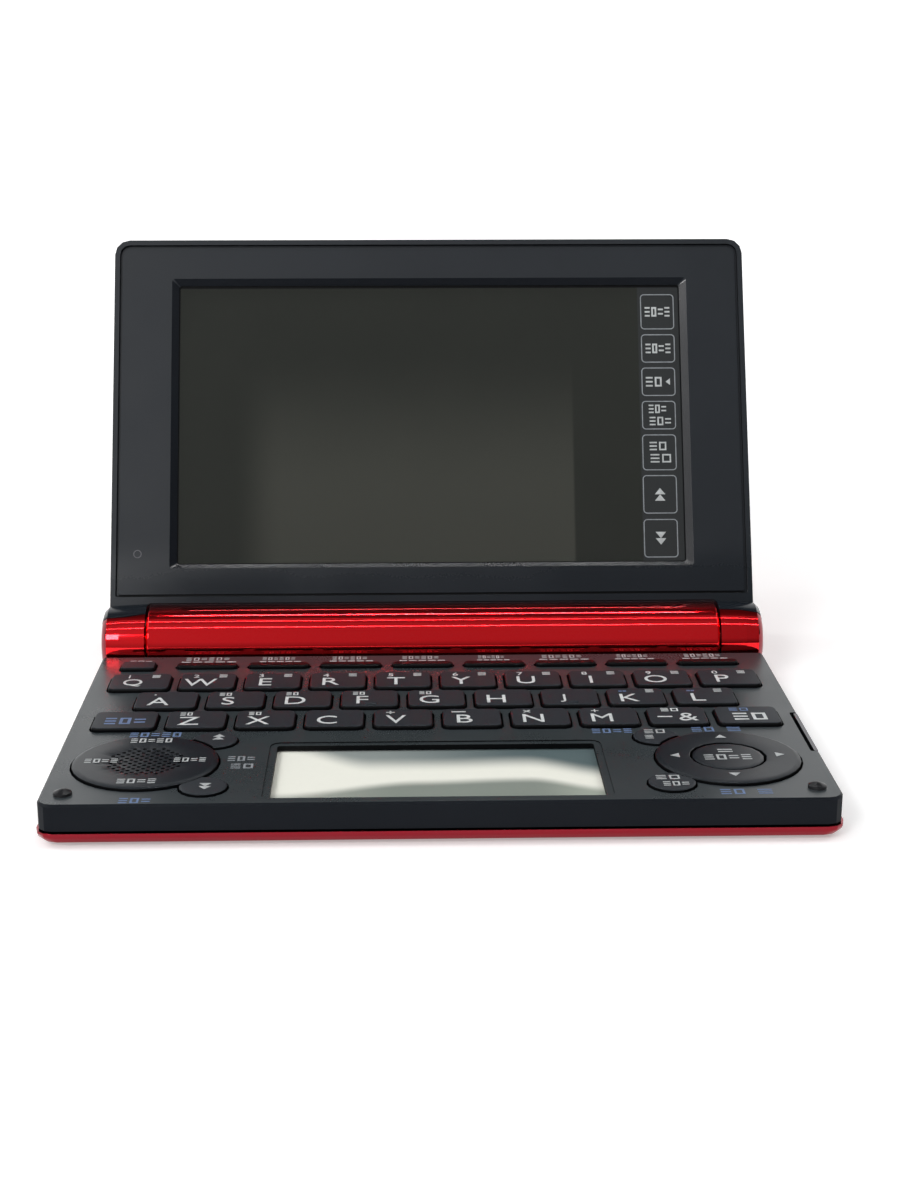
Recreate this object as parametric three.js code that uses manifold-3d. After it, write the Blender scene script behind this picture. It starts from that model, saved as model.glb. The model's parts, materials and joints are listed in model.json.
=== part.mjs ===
// Pocket electronic dictionary: a clamshell with a keyboard base, a round battery
// barrel along its back edge, and a display lid that turns on that barrel.
// Millimetres. +X is the user's right, +Y is away from the user and +Z is up.
// The part stands on z = 0, open, under the centre of its own box.

import * as THREE from 'three';
import { mergeVertices } from 'three/addons/utils/BufferGeometryUtils.js';
import Module from 'manifold-3d';

const wasm = await Module();
wasm.setup();

// Clearances that several pieces share
const seam = 0.3;          // visible joint line between two housings
const seat = 0.1;          // one inner piece lying on another
const running = 0.2;       // radial clearance of a turning part
const overrun = 1.5;       // how far a cutter passes its cut
const weld = 0.0001;       // vertices closer than this are one

// Hinge line and battery barrel
const foot = { height: 0.55, radius: 3.2, inset: 11.5 };
const barrel = {
  radius: 8.6, knuckleWidth: 9.8, edge: 0.5, wall: 1.15, endWall: 13, tongueReach: 14.5, tongueLow: 3.85,
  tongueThickness: 1.5, tongueInset: 1.2, supportWidth: 9, supportDepth: 5, supportInset: 6.7,
  contactRadius: 3, contactHeight: 0.35,
};
const hinge = {
  y: 95.5, z: foot.height + barrel.radius, restDeg: 114.5,
  pinRadius: 2.4, bossRadius: 3.4, bossBore: 2.1, depth: 7.5,
};

// Lower housing: red tray, black deck
const tray = {
  halfWidth: 74, front: -0.4, height: 2.5, wall: 1.5, floor: 1.25, rearLap: 4.6, corner: 3.4,
  ribWidth: 1, ribInset: 9, ribShare: 0.33, screwPost: 2.5, screwRecess: 2, screwDepth: 0.7,
};
const trayEdge = { inset: 2.3, insetShares: [1, 0.33, 0.07, 0, 0], riseShares: [0, 0.22, 0.56, 0.8, 1] };
const deck = {
  inset: 0.4, height: 7.95, plate: 1.2, wall: 1.4, corner: 3, rearCorner: 0.8, edge: 0.45,
  postRadius: 1.8, postInset: 8.2, bumperRadius: 1.75, bumperCrown: 1.1, bumperRise: 1,
  bumperInset: 4.3, bumperY: 5.3,
};

// Keyboard
const keys = {
  sideMargin: 4.25, padGap: 2.975, rearZone: 13.275, gapX: 1.97, gapY: 1.95, endExtra: 0.9, corner: 1.3,
  rise: 0.8, crown: 0.35, crownDrop: 0.25, flange: 0.7, flangeThickness: 0.6, clear: 0.35, travel: 0.8,
};
const bar = {
  leftMargin: 17.25, rightMargin: 6.82, gap: 2.39, depth: 2.6, corner: 1.1, rearGap: 7.9, count: 8,
};
const power = { width: 7.4, depth: 4.8, corner: 0.7, margin: 8.9 };
const pads = {
  radius: 13.9, rise: 0.8, dish: 0.3, dishRadius: 10.5, edge: 1, edgeDrop: 0.35, leftMargin: 3.7,
  rightMargin: 4.5, frontMargin: 6.4, lug: 1.1, lugWidth: 4.4, holeRadius: 7.35, enterRadius: 6.9,
  enterCrown: 0.9,
};
const tuck = {
  radius: 4.45, leftInset: 1.8, rightInset: 1.5, rearInset: 2, frontInset: 1.4, flange: 0.5,
  rise: 0.6, crown: 0.5, gap: 0.45,
};

// Small display in the deck and the stylus beside it
const memo = { padGap: 10.8, shift: -0.2, low: 3.2, above: 9.8, corner: 0.6, lap: 1.5, step: 1.4,
  stepDepth: 0.25, postGap: 4.5, postDrop: 2.3 };
const stylus = {
  low: 24.5, rearGap: 2.1, width: 2.2, height: 2.6, chamfer: 0.5, tipLength: 7, tipShare: 0.3,
  gripLength: 21.6, gripWidth: 0.95, notchWidth: 1.25, channelWall: 0.8, channelClear: 0.25, inset: 0.1,
};

// Inner stack
const board = { thickness: 1, inset: 4.6, front: 4, rearGap: 7.2, corner: 2, postClear: 0.4 };
const sheet = { thickness: 0.6, inset: 5, front: 4.6, rearGap: 7.6, corner: 1.5, domeBase: 2.2,
  domeTop: 1.5, notchClear: 1.3, barDomeBase: 1.2, barDomeTop: 0.9, rockerShare: 0.78 };
const speaker = { radius: 8, height: 2.9, ring: 1, ringHeight: 0.7, cone: 5.2, coneDepth: 0.7, clear: 0.5 };
const cell = { slack: 0.2, nubRadius: 2.7, nubLength: 1.1, edge: 0.6, gap: 0.3, endGap: 0.2 };

// Display lid
const lid = {
  inset: 0.2, frontGap: 0.9, thickness: 6.2, closedGap: 0.95, split: 2.5, corner: 3.4, wall: 1.4,
  rim: 1.2, groove: 0.55, grooveDepth: 0.75, panelDrop: 0.4, panelFoot: 1.9, plate: 1.05, back: 1.25,
  lowerRim: 1.5, ribWidth: 1, ribShare: 0.33,
};
const lidEdge = { inset: 2.8, insetShares: [0, 0, 0.18, 0.5, 1], riseShares: [0, 0.38, 0.72, 0.92, 1] };
const screen = {
  sideMargin: 14.9, topMargin: 10.7, low: 18, corner: 0.6, bevel: 1.6, lowBevel: 1, highBevel: 1.5,
  lap: 2.2, thickness: 2.3,
};
const knuckle = {
  proud: 0.4, taper: 0.25, shoulder: 1.4, shoulderDrop: 0.9, endDrop: 2.3, innerCapDeg: 47,
  outerCapDeg: 54, capSkin: 2.7,
};
const cover = { lowDeg: -80, highDeg: 12, endGap: 0.8, gripCount: 5, gripPitch: 2, gripWidth: 0.9,
  gripHeight: 0.25, gripHalfDeg: 12 };

// Facets of round work
const facets = { corner: 3, key: 2, pad: 32, small: 18, barrel: 36, arc: 10, dome: 6, pin: 20, stud: 12 };

const radians = THREE.MathUtils.degToRad;

// Levels
const deckTop = foot.height + deck.height;
const deckUnder = deckTop - deck.plate;
const trayTop = foot.height + tray.height;
const floorTop = foot.height + tray.floor;
const keyUnder = deckUnder - seam - keys.flangeThickness;
const domeTop = keyUnder - keys.travel - seam;
const lidFace = deckTop + lid.closedGap - hinge.z;
const lidBack = lidFace + lid.thickness;
const coverFace = lidFace + lid.split;
const boardLow = floorTop + speaker.ringHeight + seat;
const boardTop = boardLow + board.thickness;
const sheetLow = boardTop + seat;

// Widths, all from the tray's
const deckHalf = tray.halfWidth - deck.inset;
const lidHalf = deckHalf - lid.inset;
const screenHalf = lidHalf - screen.sideMargin;
const knuckleOuter = tray.halfWidth + knuckle.proud;
const barrelHalf = tray.halfWidth - barrel.knuckleWidth;
const knuckleInner = barrelHalf + seam;
const bayHalf = barrelHalf - barrel.endWall;
const bayRadius = barrel.radius - barrel.wall;
const coverHalf = bayHalf - cover.endGap;
const pinOuter = knuckleOuter - knuckle.endDrop;

// Depths, all from the hinge line's
const deckRear = hinge.y - barrel.radius - seam;
const lidLength = hinge.y - lid.frontGap;
const screenHigh = lidLength - screen.topMargin;
const padY = pads.frontMargin + pads.radius;
const leftX = -deckHalf + pads.leftMargin + pads.radius;
const rightX = deckHalf - pads.rightMargin - pads.radius;
const memoX = (leftX + rightX) / 2 + memo.shift;
const memoHalf = (rightX - leftX) / 2 - pads.radius - memo.padGap;
const memoHigh = padY + memo.above;
const stylusHigh = deckRear - stylus.rearGap;
const boardHalf = deckHalf - board.inset;
const boardRear = deckRear - board.rearGap;
const tongueHalf = barrelHalf - barrel.tongueInset;
const cellTotal = bayHalf - barrel.contactHeight - cell.gap / 2 - cell.endGap;
const cellLength = cellTotal - cell.nubLength;
const cellRadius = bayRadius - cell.slack;

// From a three.js geometry to a solid that can be cut, and back
function solid(geometry) {
  const bare = geometry.clone();
  bare.deleteAttribute('normal');
  bare.deleteAttribute('uv');
  const merged = mergeVertices(bare, weld);
  return new wasm.Manifold(new wasm.Mesh({
    numProp: 3,
    vertProperties: new Float32Array(merged.attributes.position.array),
    triVerts: new Uint32Array(merged.index.array),
  }));
}

function geometryOf(body) {
  const mesh = body.getMesh();
  const geometry = new THREE.BufferGeometry();
  const points = new Float32Array(mesh.numVert * 3);
  for (let i = 0; i < mesh.numVert; i += 1) {
    for (let k = 0; k < 3; k += 1) points[3 * i + k] = mesh.vertProperties[mesh.numProp * i + k];
  }
  geometry.setAttribute('position', new THREE.BufferAttribute(points, 3));
  geometry.setIndex(new THREE.BufferAttribute(new Uint32Array(mesh.triVerts), 1));
  return geometry;
}

const joined = (first, ...others) => others.reduce((all, one) => all.add(one), first);
const cut = (first, ...others) => others.reduce((all, one) => all.subtract(one), first);

// Outlines, as lists of [x, y] that run anticlockwise
function roundedBox(x0, x1, y0, y1, radii, steps = facets.corner) {
  const [a, b, c, d] = Array.isArray(radii) ? radii : [radii, radii, radii, radii];
  const places = [
    [x1 - b, y0 + b, b, -90], [x1 - c, y1 - c, c, 0], [x0 + d, y1 - d, d, 90], [x0 + a, y0 + a, a, 180],
  ];
  return places.flatMap(([x, y, r, start]) => Array.from({ length: steps + 1 }, (_, i) => {
    const turn = radians(start + (90 * i) / steps);
    return [x + r * Math.cos(turn), y + r * Math.sin(turn)];
  }));
}

function circle(x, y, radius, sides) {
  return Array.from({ length: sides }, (_, i) => {
    const turn = (2 * Math.PI * i) / sides;
    return [x + radius * Math.cos(turn), y + radius * Math.sin(turn)];
  });
}

const centredBox = (x, y, width, depth, corner, steps = facets.key) =>
  roundedBox(x - width / 2, x + width / 2, y - depth / 2, y + depth / 2, corner, steps);

// A straight prism between two heights, with holes if there are any
function prism(outline, low, high, holes = []) {
  const shape = new THREE.Shape(outline.map(([x, y]) => new THREE.Vector2(x, y)));
  for (const hole of holes) {
    shape.holes.push(new THREE.Path(hole.map(([x, y]) => new THREE.Vector2(x, y))));
  }
  const geometry = new THREE.ExtrudeGeometry(shape, { depth: high - low, bevelEnabled: false });
  geometry.translate(0, 0, low);
  return solid(geometry);
}

const block = (x0, x1, y0, y1, z0, z1) => {
  const geometry = new THREE.BoxGeometry(x1 - x0, y1 - y0, z1 - z0);
  geometry.translate((x0 + x1) / 2, (y0 + y1) / 2, (z0 + z1) / 2);
  return solid(geometry);
};

// A skin over rings of equal count, each a list of [x, y, z], closed by a flat fan at both ends
function loft(rings) {
  const count = rings[0].length;
  const index = [];
  for (let r = 0; r + 1 < rings.length; r += 1) {
    for (let i = 0; i < count; i += 1) {
      const next = (i + 1) % count;
      const [a, b, c, d] = [r * count + i, r * count + next, (r + 1) * count + next, (r + 1) * count + i];
      index.push(a, b, c, a, c, d);
    }
  }
  const last = (rings.length - 1) * count;
  for (let i = 1; i + 1 < count; i += 1) {
    index.push(0, i + 1, i);
    index.push(last, last + i, last + i + 1);
  }
  const geometry = new THREE.BufferGeometry();
  geometry.setAttribute('position', new THREE.Float32BufferAttribute(rings.flat(2), 3));
  geometry.setIndex(index);
  return solid(geometry);
}

const atHeight = (outline, z) => outline.map(([x, y]) => [x, y, z]);

// A body turned about the X axis, from stations of [x, radius]
function turned(stations, sides, y = 0, z = 0) {
  return loft(stations.map(([x, radius]) => circle(y, z, radius, sides).map(([v, w]) => [x, v, w])));
}

// A body turned about a vertical line, from stations of [z, radius]
const spun = (stations, sides, x = 0, y = 0) =>
  loft(stations.map(([z, radius]) => atHeight(circle(x, y, radius, sides), z)));

// A slice of a tube along X, between two angles counted from +Y towards +Z
function tubeSlice(inner, outer, lowDeg, highDeg, x0, x1) {
  const turns = Array.from({ length: facets.arc + 1 }, (_, i) =>
    radians(lowDeg + ((highDeg - lowDeg) * i) / facets.arc));
  const at = (radius, turn) => new THREE.Vector2(radius * Math.cos(turn), radius * Math.sin(turn));
  const shape = new THREE.Shape([
    ...turns.map((turn) => at(outer, turn)), ...turns.reverse().map((turn) => at(inner, turn)),
  ]);
  const geometry = new THREE.ExtrudeGeometry(shape, { depth: x1 - x0, bevelEnabled: false });
  const toX = new THREE.Matrix4().makeBasis(
    new THREE.Vector3(0, 1, 0), new THREE.Vector3(0, 0, 1), new THREE.Vector3(1, 0, 0));
  geometry.applyMatrix4(toX);
  geometry.translate(x0, 0, 0);
  return solid(geometry);
}

// Where each key of the three letter rows sits; the outer key of a row is a little wider
const rowNames = [
  ['q', 'w', 'e', 'r', 't', 'y', 'u', 'i', 'o', 'p'],
  ['a', 's', 'd', 'f', 'g', 'h', 'j', 'k', 'l'],
  ['shift', 'z', 'x', 'c', 'v', 'b', 'n', 'm', 'symbol', 'delete'],
];
const pitch = (2 * (deckHalf - keys.sideMargin)) / rowNames[0].length;
const keyRear = deckRear - keys.rearZone;
const rowPitch = (keyRear - padY - pads.radius - keys.padGap) / rowNames.length;
const rowY = (row) => keyRear - (row + 1 / 2) * rowPitch;
const letterKeys = rowNames.flatMap((names, row) => names.map((name, column) => {
  const side = Number(column === names.length - 1) - Number(column === 0);
  const extra = Math.abs(side) * keys.endExtra;
  return {
    name: `key_${name}`,
    x: (column - (names.length - 1) / 2) * pitch + (side * extra) / 2,
    y: rowY(row),
    width: pitch - keys.gapX + extra, depth: rowPitch - keys.gapY, corner: keys.corner,
  };
}));
const barLeft = -deckHalf + bar.leftMargin;
const barPitch = (deckHalf - bar.rightMargin - barLeft + bar.gap) / bar.count;
const barWidth = barPitch - bar.gap;
const barY = deckRear - bar.rearGap;
const barKeys = Array.from({ length: bar.count }, (_, i) => ({
  name: `key_bar_${i + 1}`,
  x: barLeft + barWidth / 2 + i * barPitch, y: barY, width: barWidth, depth: bar.depth, corner: bar.corner,
}));
const powerKey = {
  name: 'key_power', x: power.margin - deckHalf, y: barY,
  width: power.width, depth: power.depth, corner: power.corner,
};
const plainKeys = [...letterKeys, powerKey, ...barKeys];
const tuckX = { left: leftX + pads.radius - tuck.leftInset, right: rightX - pads.radius + tuck.rightInset };
const tuckY = { rear: padY + pads.radius - tuck.rearInset, front: padY - pads.radius + tuck.frontInset };
const tuckKeys = [
  { name: 'key_page_up', x: tuckX.left, y: tuckY.rear, padX: leftX },
  { name: 'key_page_down', x: tuckX.left, y: tuckY.front, padX: leftX },
  { name: 'key_voice', x: tuckX.right, y: tuckY.rear, padX: rightX },
  { name: 'key_back', x: tuckX.right, y: tuckY.front, padX: rightX },
];
const postPlaces = [
  [-deckHalf + deck.postInset, rowY(1)], [deckHalf - deck.postInset, rowY(1)],
  [memoX - memoHalf - memo.postGap, padY - memo.postDrop],
  [memoX + memoHalf + memo.postGap, padY - memo.postDrop],
];

// A key: its cap stands over the deck and its flange keeps it under the plate
function keyBody({ x, y, width, depth, corner }) {
  const flangeTop = keyUnder + keys.flangeThickness;
  const top = deckTop + keys.rise;
  const ring = (inset, z) => atHeight(
    centredBox(x, y, width - 2 * inset, depth - 2 * inset, Math.max(corner - inset, corner / 2)), z);
  const cap = loft([
    ring(0, keyUnder + keys.flangeThickness / 2), ring(0, top - keys.crownDrop), ring(keys.crown, top),
  ]);
  const [reachX, reachY] = [width / 2 + keys.flange, depth / 2 + keys.flange];
  return cap.add(block(x - reachX, x + reachX, y - reachY, y + reachY, keyUnder, flangeTop));
}

// A small key that is tucked under the edge of a round pad
function tuckBody({ x, y, padX }) {
  const flangeTop = keyUnder + keys.flangeThickness;
  const top = deckTop + tuck.rise;
  const cap = spun([
    [keyUnder, tuck.radius + tuck.flange], [flangeTop, tuck.radius + tuck.flange], [flangeTop, tuck.radius],
    [top - keys.crownDrop, tuck.radius], [top, tuck.radius - tuck.crown],
  ], facets.small, x, y);
  const bite = prism(circle(padX, padY, pads.radius + tuck.gap, facets.pad),
    keyUnder - overrun, top + overrun);
  return cut(cap, bite);
}

// A round four-way pad, dished, with two lugs on its rocking axis
function padBody(x) {
  const top = deckTop + pads.rise;
  const disc = spun([
    [keyUnder, pads.radius], [top - pads.edgeDrop, pads.radius], [top, pads.radius - pads.edge],
    [top, pads.dishRadius], [top - pads.dish, pads.dishRadius / 2],
  ], facets.pad, x, padY);
  const reach = pads.radius + pads.lug;
  const lugs = block(x - reach, x + reach, padY - pads.lugWidth / 2, padY + pads.lugWidth / 2,
    keyUnder, keyUnder + keys.flangeThickness);
  return joined(disc, lugs);
}

function ringBody(x) {
  const bore = prism(circle(x, padY, pads.holeRadius, facets.small),
    keyUnder - overrun, deckTop + pads.rise + overrun);
  return cut(padBody(x), bore);
}

function enterBody(x) {
  const top = deckTop + pads.rise - pads.dish;
  return spun([
    [keyUnder - keys.flangeThickness / 2, pads.enterRadius], [top, pads.enterRadius],
    [top + keys.crownDrop, pads.enterRadius - pads.enterCrown],
  ], facets.small, x, padY);
}

// Black deck: a plate with an opening for every key, and walls down to the red tray
function deckBody() {
  const corners = [deck.corner, deck.corner, deck.rearCorner, deck.rearCorner];
  const outline = (inset) => roundedBox(
    -deckHalf + inset, deckHalf - inset, inset, deckRear - inset,
    corners.map((r) => Math.max(r - inset, r / 3)));
  const keyHoles = plainKeys.map(({ x, y, width, depth, corner }) =>
    centredBox(x, y, width + 2 * keys.clear, depth + 2 * keys.clear, corner + keys.clear));
  const memoBox = (grow) => roundedBox(
    memoX - memoHalf - grow, memoX + memoHalf + grow, memo.low - grow, memoHigh + grow, memo.corner + grow);
  const plate = prism(outline(0), deckUnder, deckTop, [...keyHoles, memoBox(0)]);
  const skirtLow = trayTop + seam;
  const skirt = cut(
    prism(outline(0), skirtLow, deckUnder + deck.plate / 2),
    block(-deckHalf + deck.wall, deckHalf - deck.wall, deck.wall, deckRear + overrun,
      skirtLow - overrun, deckTop + overrun),
  );
  const padHoles = [leftX, rightX].map((x) =>
    prism(circle(x, padY, pads.radius + keys.clear, facets.pad), deckUnder - overrun, deckTop + overrun));
  const tuckHoles = tuckKeys.map(({ x, y }) =>
    prism(circle(x, y, tuck.radius + keys.clear, facets.small), deckUnder - overrun, deckTop + overrun));
  const step = prism(memoBox(memo.step), deckTop - memo.stepDepth, deckTop + overrun);
  const posts = postPlaces.map(([x, y]) =>
    prism(circle(x, y, deck.postRadius, facets.stud), boardLow + seat, deckUnder + deck.plate / 2));
  const bumperX = deckHalf - deck.bumperInset;
  const bumpers = [-bumperX, bumperX].map((x) => spun([
    [deckTop - deck.plate / 2, deck.bumperRadius], [deckTop + deck.bumperRise / 2, deck.bumperRadius],
    [deckTop + deck.bumperRise, deck.bumperRadius - deck.bumperCrown],
  ], facets.stud, x, deck.bumperY));
  const channel = channelCut();
  const softened = loft([
    atHeight(outline(0), skirtLow - overrun),
    atHeight(outline(0), deckTop - deck.edge),
    atHeight(outline(deck.edge), deckTop),
  ]);
  const shell = joined(plate, skirt, channelWall(), ...posts).intersect(softened);
  return joined(cut(shell, channel, step, ...padHoles, ...tuckHoles), ...bumpers);
}

// The stylus lies in a channel that opens to the right, with a finger notch in the deck's edge
const stylusTop = deckUnder - stylus.channelClear;
const stylusLow = stylusTop - stylus.height;
const stylusOut = deckHalf - stylus.inset;
const stylusIn = stylusOut - stylus.width;

function channelCut() {
  const groove = block(stylusIn - stylus.channelClear, deckHalf + overrun,
    stylus.low - seam, stylusHigh + seam, trayTop, deckUnder);
  const notch = prism(
    roundedBox(deckHalf - stylus.notchWidth, deckHalf + overrun,
      stylus.low - seam, stylus.low + stylus.gripLength + seam, stylus.gripWidth / 2),
    deckUnder - seam, deckTop + overrun);
  return groove.add(notch);
}

function channelWall() {
  const inner = stylusIn - stylus.channelClear;
  return block(inner - stylus.channelWall, deckHalf - deck.wall / 2,
    stylus.low - seam - stylus.channelWall, stylusHigh + seam + stylus.channelWall,
    trayTop + seam, deckUnder + deck.plate / 2);
}

function stylusBody() {
  const section = (share) => {
    const x = (stylusIn + stylusOut) / 2;
    const z = (stylusLow + stylusTop) / 2;
    const [w, h, c] = [stylus.width * share, stylus.height * share, stylus.chamfer * share];
    return roundedBox(x - w / 2, x + w / 2, z - h / 2, z + h / 2, c, 1);
  };
  const stations = [[stylus.low, 1], [stylusHigh - stylus.tipLength, 1], [stylusHigh, stylus.tipShare]];
  const shaft = loft(stations.map(([y, share]) => section(share).map(([x, z]) => [x, y, z])).reverse());
  const grip = prism(
    roundedBox(stylusOut - stylus.gripWidth, stylusOut, stylus.low, stylus.low + stylus.gripLength,
      stylus.gripWidth / 3),
    stylusTop - stylus.chamfer * 2, deckTop - stylus.inset);
  return shaft.add(grip);
}

// Red tray: a shallow tub with a rounded lower edge, cut back round the barrel
function trayBody() {
  const rear = hinge.y - barrel.radius + tray.rearLap;
  const outline = (inset) => roundedBox(
    -tray.halfWidth + inset, tray.halfWidth - inset, tray.front + inset, rear,
    [tray.corner, tray.corner, deck.rearCorner, deck.rearCorner]);
  const skin = loft(trayEdge.riseShares.map((rise, i) =>
    atHeight(outline(trayEdge.inset * trayEdge.insetShares[i]), foot.height + tray.height * rise)));
  const hollow = prism(
    roundedBox(-tray.halfWidth + tray.wall, tray.halfWidth - tray.wall, tray.front + tray.wall,
      rear + overrun, [tray.corner - tray.wall, tray.corner - tray.wall, deck.rearCorner, deck.rearCorner]),
    floorTop, trayTop + overrun);
  const roomRadius = barrel.radius + seam;
  const room = turned([[-tray.halfWidth - overrun, roomRadius], [tray.halfWidth + overrun, roomRadius]],
    facets.barrel, hinge.y, hinge.z);
  const studs = postPlaces.map(([x, y]) =>
    prism(circle(x, y, tray.screwPost, facets.stud), foot.height, boardLow - seat));
  const tongueX = tongueHalf - tray.ribInset;
  const tongueY = deckRear - tray.rearLap;
  const tonguePosts = [-tongueX, tongueX].map((x) =>
    prism(circle(x, tongueY, tray.screwPost, facets.stud), foot.height, barrel.tongueLow - seat));
  const recesses = [...postPlaces, [-tongueX, tongueY], [tongueX, tongueY]].map(([x, y]) =>
    prism(circle(x, y, tray.screwRecess, facets.stud), foot.height - overrun, foot.height + tray.screwDepth));
  const inFloor = foot.height + tray.floor / 2;
  const ribs = [-1, 1].map((side) => {
    const x = side * tray.halfWidth * tray.ribShare;
    return block(x - tray.ribWidth / 2, x + tray.ribWidth / 2, tray.ribInset, boardRear,
      inFloor, boardLow - seat);
  });
  const speakerRoom = speaker.radius + speaker.clear;
  const speakerRing = prism(circle(leftX, padY, speakerRoom + speaker.ring, facets.small),
    inFloor, floorTop + speaker.ringHeight, [circle(leftX, padY, speakerRoom, facets.small)]);
  const feet = [-1, 1].map((side) => {
    const [x, y] = [side * (tray.halfWidth - foot.inset), foot.inset];
    return prism(circle(x, y, foot.radius, facets.stud), 0, inFloor);
  });
  const inside = [...studs, ...tonguePosts, ...ribs, speakerRing];
  return cut(joined(cut(skin, hollow), ...inside, ...feet), room, ...recesses);
}

// Red barrel: a tube for two cells in line, open at the back, with a tongue into the case
function barrelBody() {
  const end = barrelHalf;
  const shell = turned([
    [-end, barrel.radius - barrel.edge], [-end + barrel.edge, barrel.radius],
    [end - barrel.edge, barrel.radius], [end, barrel.radius - barrel.edge],
  ], facets.barrel);
  const bay = turned([[-bayHalf, bayRadius], [bayHalf, bayRadius]], facets.barrel);
  const doorway = tubeSlice(bayRadius / 2, barrel.radius + overrun, cover.lowDeg, cover.highDeg,
    -coverHalf - seam, coverHalf + seam);
  const contacts = [-1, 1].map((side) => turned([
    [side * bayHalf - barrel.contactHeight, barrel.contactRadius],
    [side * bayHalf + barrel.contactHeight, barrel.contactRadius],
  ], facets.stud));
  const tongue = block(-tongueHalf, tongueHalf, -barrel.tongueReach, -barrel.radius / 2,
    barrel.tongueLow - hinge.z, barrel.tongueLow + barrel.tongueThickness - hinge.z);
  const supports = [-1, 1].map((side) => prism(
    centredBox(side * (barrelHalf - barrel.supportInset), 0, barrel.supportWidth, barrel.supportDepth,
      barrel.supportDepth / 3), -hinge.z, -bayRadius));
  const boreDepth = hinge.depth + seam;
  const [leftRadius, rightRadius] = [hinge.bossRadius + running, hinge.pinRadius + running];
  const leftBore = turned([[-end - overrun, leftRadius], [-end + boreDepth, leftRadius]], facets.pin);
  const rightBore = turned([[end - boreDepth, rightRadius], [end + overrun, rightRadius]], facets.pin);
  return joined(cut(joined(shell, tongue, ...supports), bay, doorway, leftBore, rightBore), ...contacts);
}

// Battery cover: the missing slice of the barrel's wall, with finger ridges
function coverBody() {
  const slack = THREE.MathUtils.radToDeg(seam / barrel.radius);
  const wall = tubeSlice(bayRadius, barrel.radius, cover.lowDeg + slack, cover.highDeg - slack,
    -coverHalf, coverHalf);
  const middle = (cover.lowDeg + cover.highDeg) / 2;
  const ridges = Array.from({ length: cover.gripCount }, (_, i) => {
    const x = (i - (cover.gripCount - 1) / 2) * cover.gripPitch;
    return tubeSlice(bayRadius + seam, barrel.radius + cover.gripHeight, middle - cover.gripHalfDeg,
      middle + cover.gripHalfDeg, x - cover.gripWidth / 2, x + cover.gripWidth / 2);
  });
  return joined(wall, ...ridges);
}

function cellBody(x) {
  const start = x - cellTotal / 2;
  const shoulder = start + cellLength;
  return turned([
    [start, cellRadius - cell.edge], [start + cell.edge, cellRadius], [shoulder - cell.edge, cellRadius],
    [shoulder, cellRadius - cell.edge], [shoulder, cell.nubRadius],
    [shoulder + cell.nubLength, cell.nubRadius],
  ], facets.small);
}

// Inner pieces under the keys
const postHoles = (clear) => postPlaces.map(([x, y]) => circle(x, y, deck.postRadius + clear, facets.stud));

function boardBody() {
  const outline = roundedBox(-boardHalf, boardHalf, board.front, boardRear, board.corner);
  const speakerHole = circle(leftX, padY, speaker.radius + speaker.clear, facets.small);
  return prism(outline, boardLow, boardTop, [...postHoles(board.postClear), speakerHole]);
}

function sheetBody() {
  const half = deckHalf - sheet.inset;
  const lap = memo.lap + sheet.notchClear;
  const outline = roundedBox(-half, half, sheet.front, deckRear - sheet.rearGap, sheet.corner);
  const speakerHole = circle(leftX, padY, speaker.radius + speaker.clear, facets.small);
  const top = sheetLow + sheet.thickness;
  const dome = (x, y, low, high) =>
    spun([[top - sheet.thickness / 2, low], [domeTop, high]], facets.dome, x, y);
  const rocker = pads.radius * sheet.rockerShare;
  const domes = [
    ...letterKeys.map(({ x, y }) => dome(x, y, sheet.domeBase, sheet.domeTop)),
    ...[powerKey, ...barKeys].map(({ x, y }) => dome(x, y, sheet.barDomeBase, sheet.barDomeTop)),
    ...tuckKeys.map(({ x, y }) => dome(x, y, sheet.domeBase, sheet.domeTop)),
    dome(rightX, padY, sheet.domeBase, sheet.domeTop),
    ...[leftX, rightX].flatMap((x) => [[rocker, 0], [-rocker, 0], [0, rocker], [0, -rocker]]
      .map(([dx, dy]) => dome(x + dx, padY + dy, sheet.barDomeBase, sheet.barDomeTop))),
  ];
  const notch = block(memoX - memoHalf - lap, memoX + memoHalf + lap, sheet.front - overrun, memoHigh + lap,
    sheetLow - overrun, domeTop + overrun);
  const holes = [...postHoles(board.postClear), speakerHole];
  return joined(cut(prism(outline, sheetLow, top, holes), notch), ...domes);
}

function speakerBody() {
  const low = floorTop + seat;
  const body = spun([[low, speaker.radius - speaker.ring], [low + speaker.ring, speaker.radius],
    [low + speaker.height, speaker.radius]], facets.small, leftX, padY);
  const dish = spun([[low + speaker.height - speaker.coneDepth, speaker.cone / 2],
    [low + speaker.height + weld, speaker.cone]], facets.small, leftX, padY);
  return cut(body, dish);
}

function memoBody() {
  const top = deckUnder - seam;
  return prism(roundedBox(memoX - memoHalf - memo.lap, memoX + memoHalf + memo.lap,
    memo.low - memo.lap, memoHigh + memo.lap, memo.corner), boardTop + seat, top);
}

// The lid is drawn closed, about the hinge line, with its free edge towards -Y
const lidOutline = (inset, near, corner = lid.corner) => roundedBox(
  -lidHalf + inset, lidHalf - inset, -lidLength + inset, -near,
  [corner, corner, deck.rearCorner, deck.rearCorner].map((r) => Math.max(r - inset, deck.rearCorner / 2)));

function barrelRoom() {
  return turned([[-knuckleInner, barrel.radius + seam], [knuckleInner, barrel.radius + seam]], facets.barrel);
}

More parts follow.
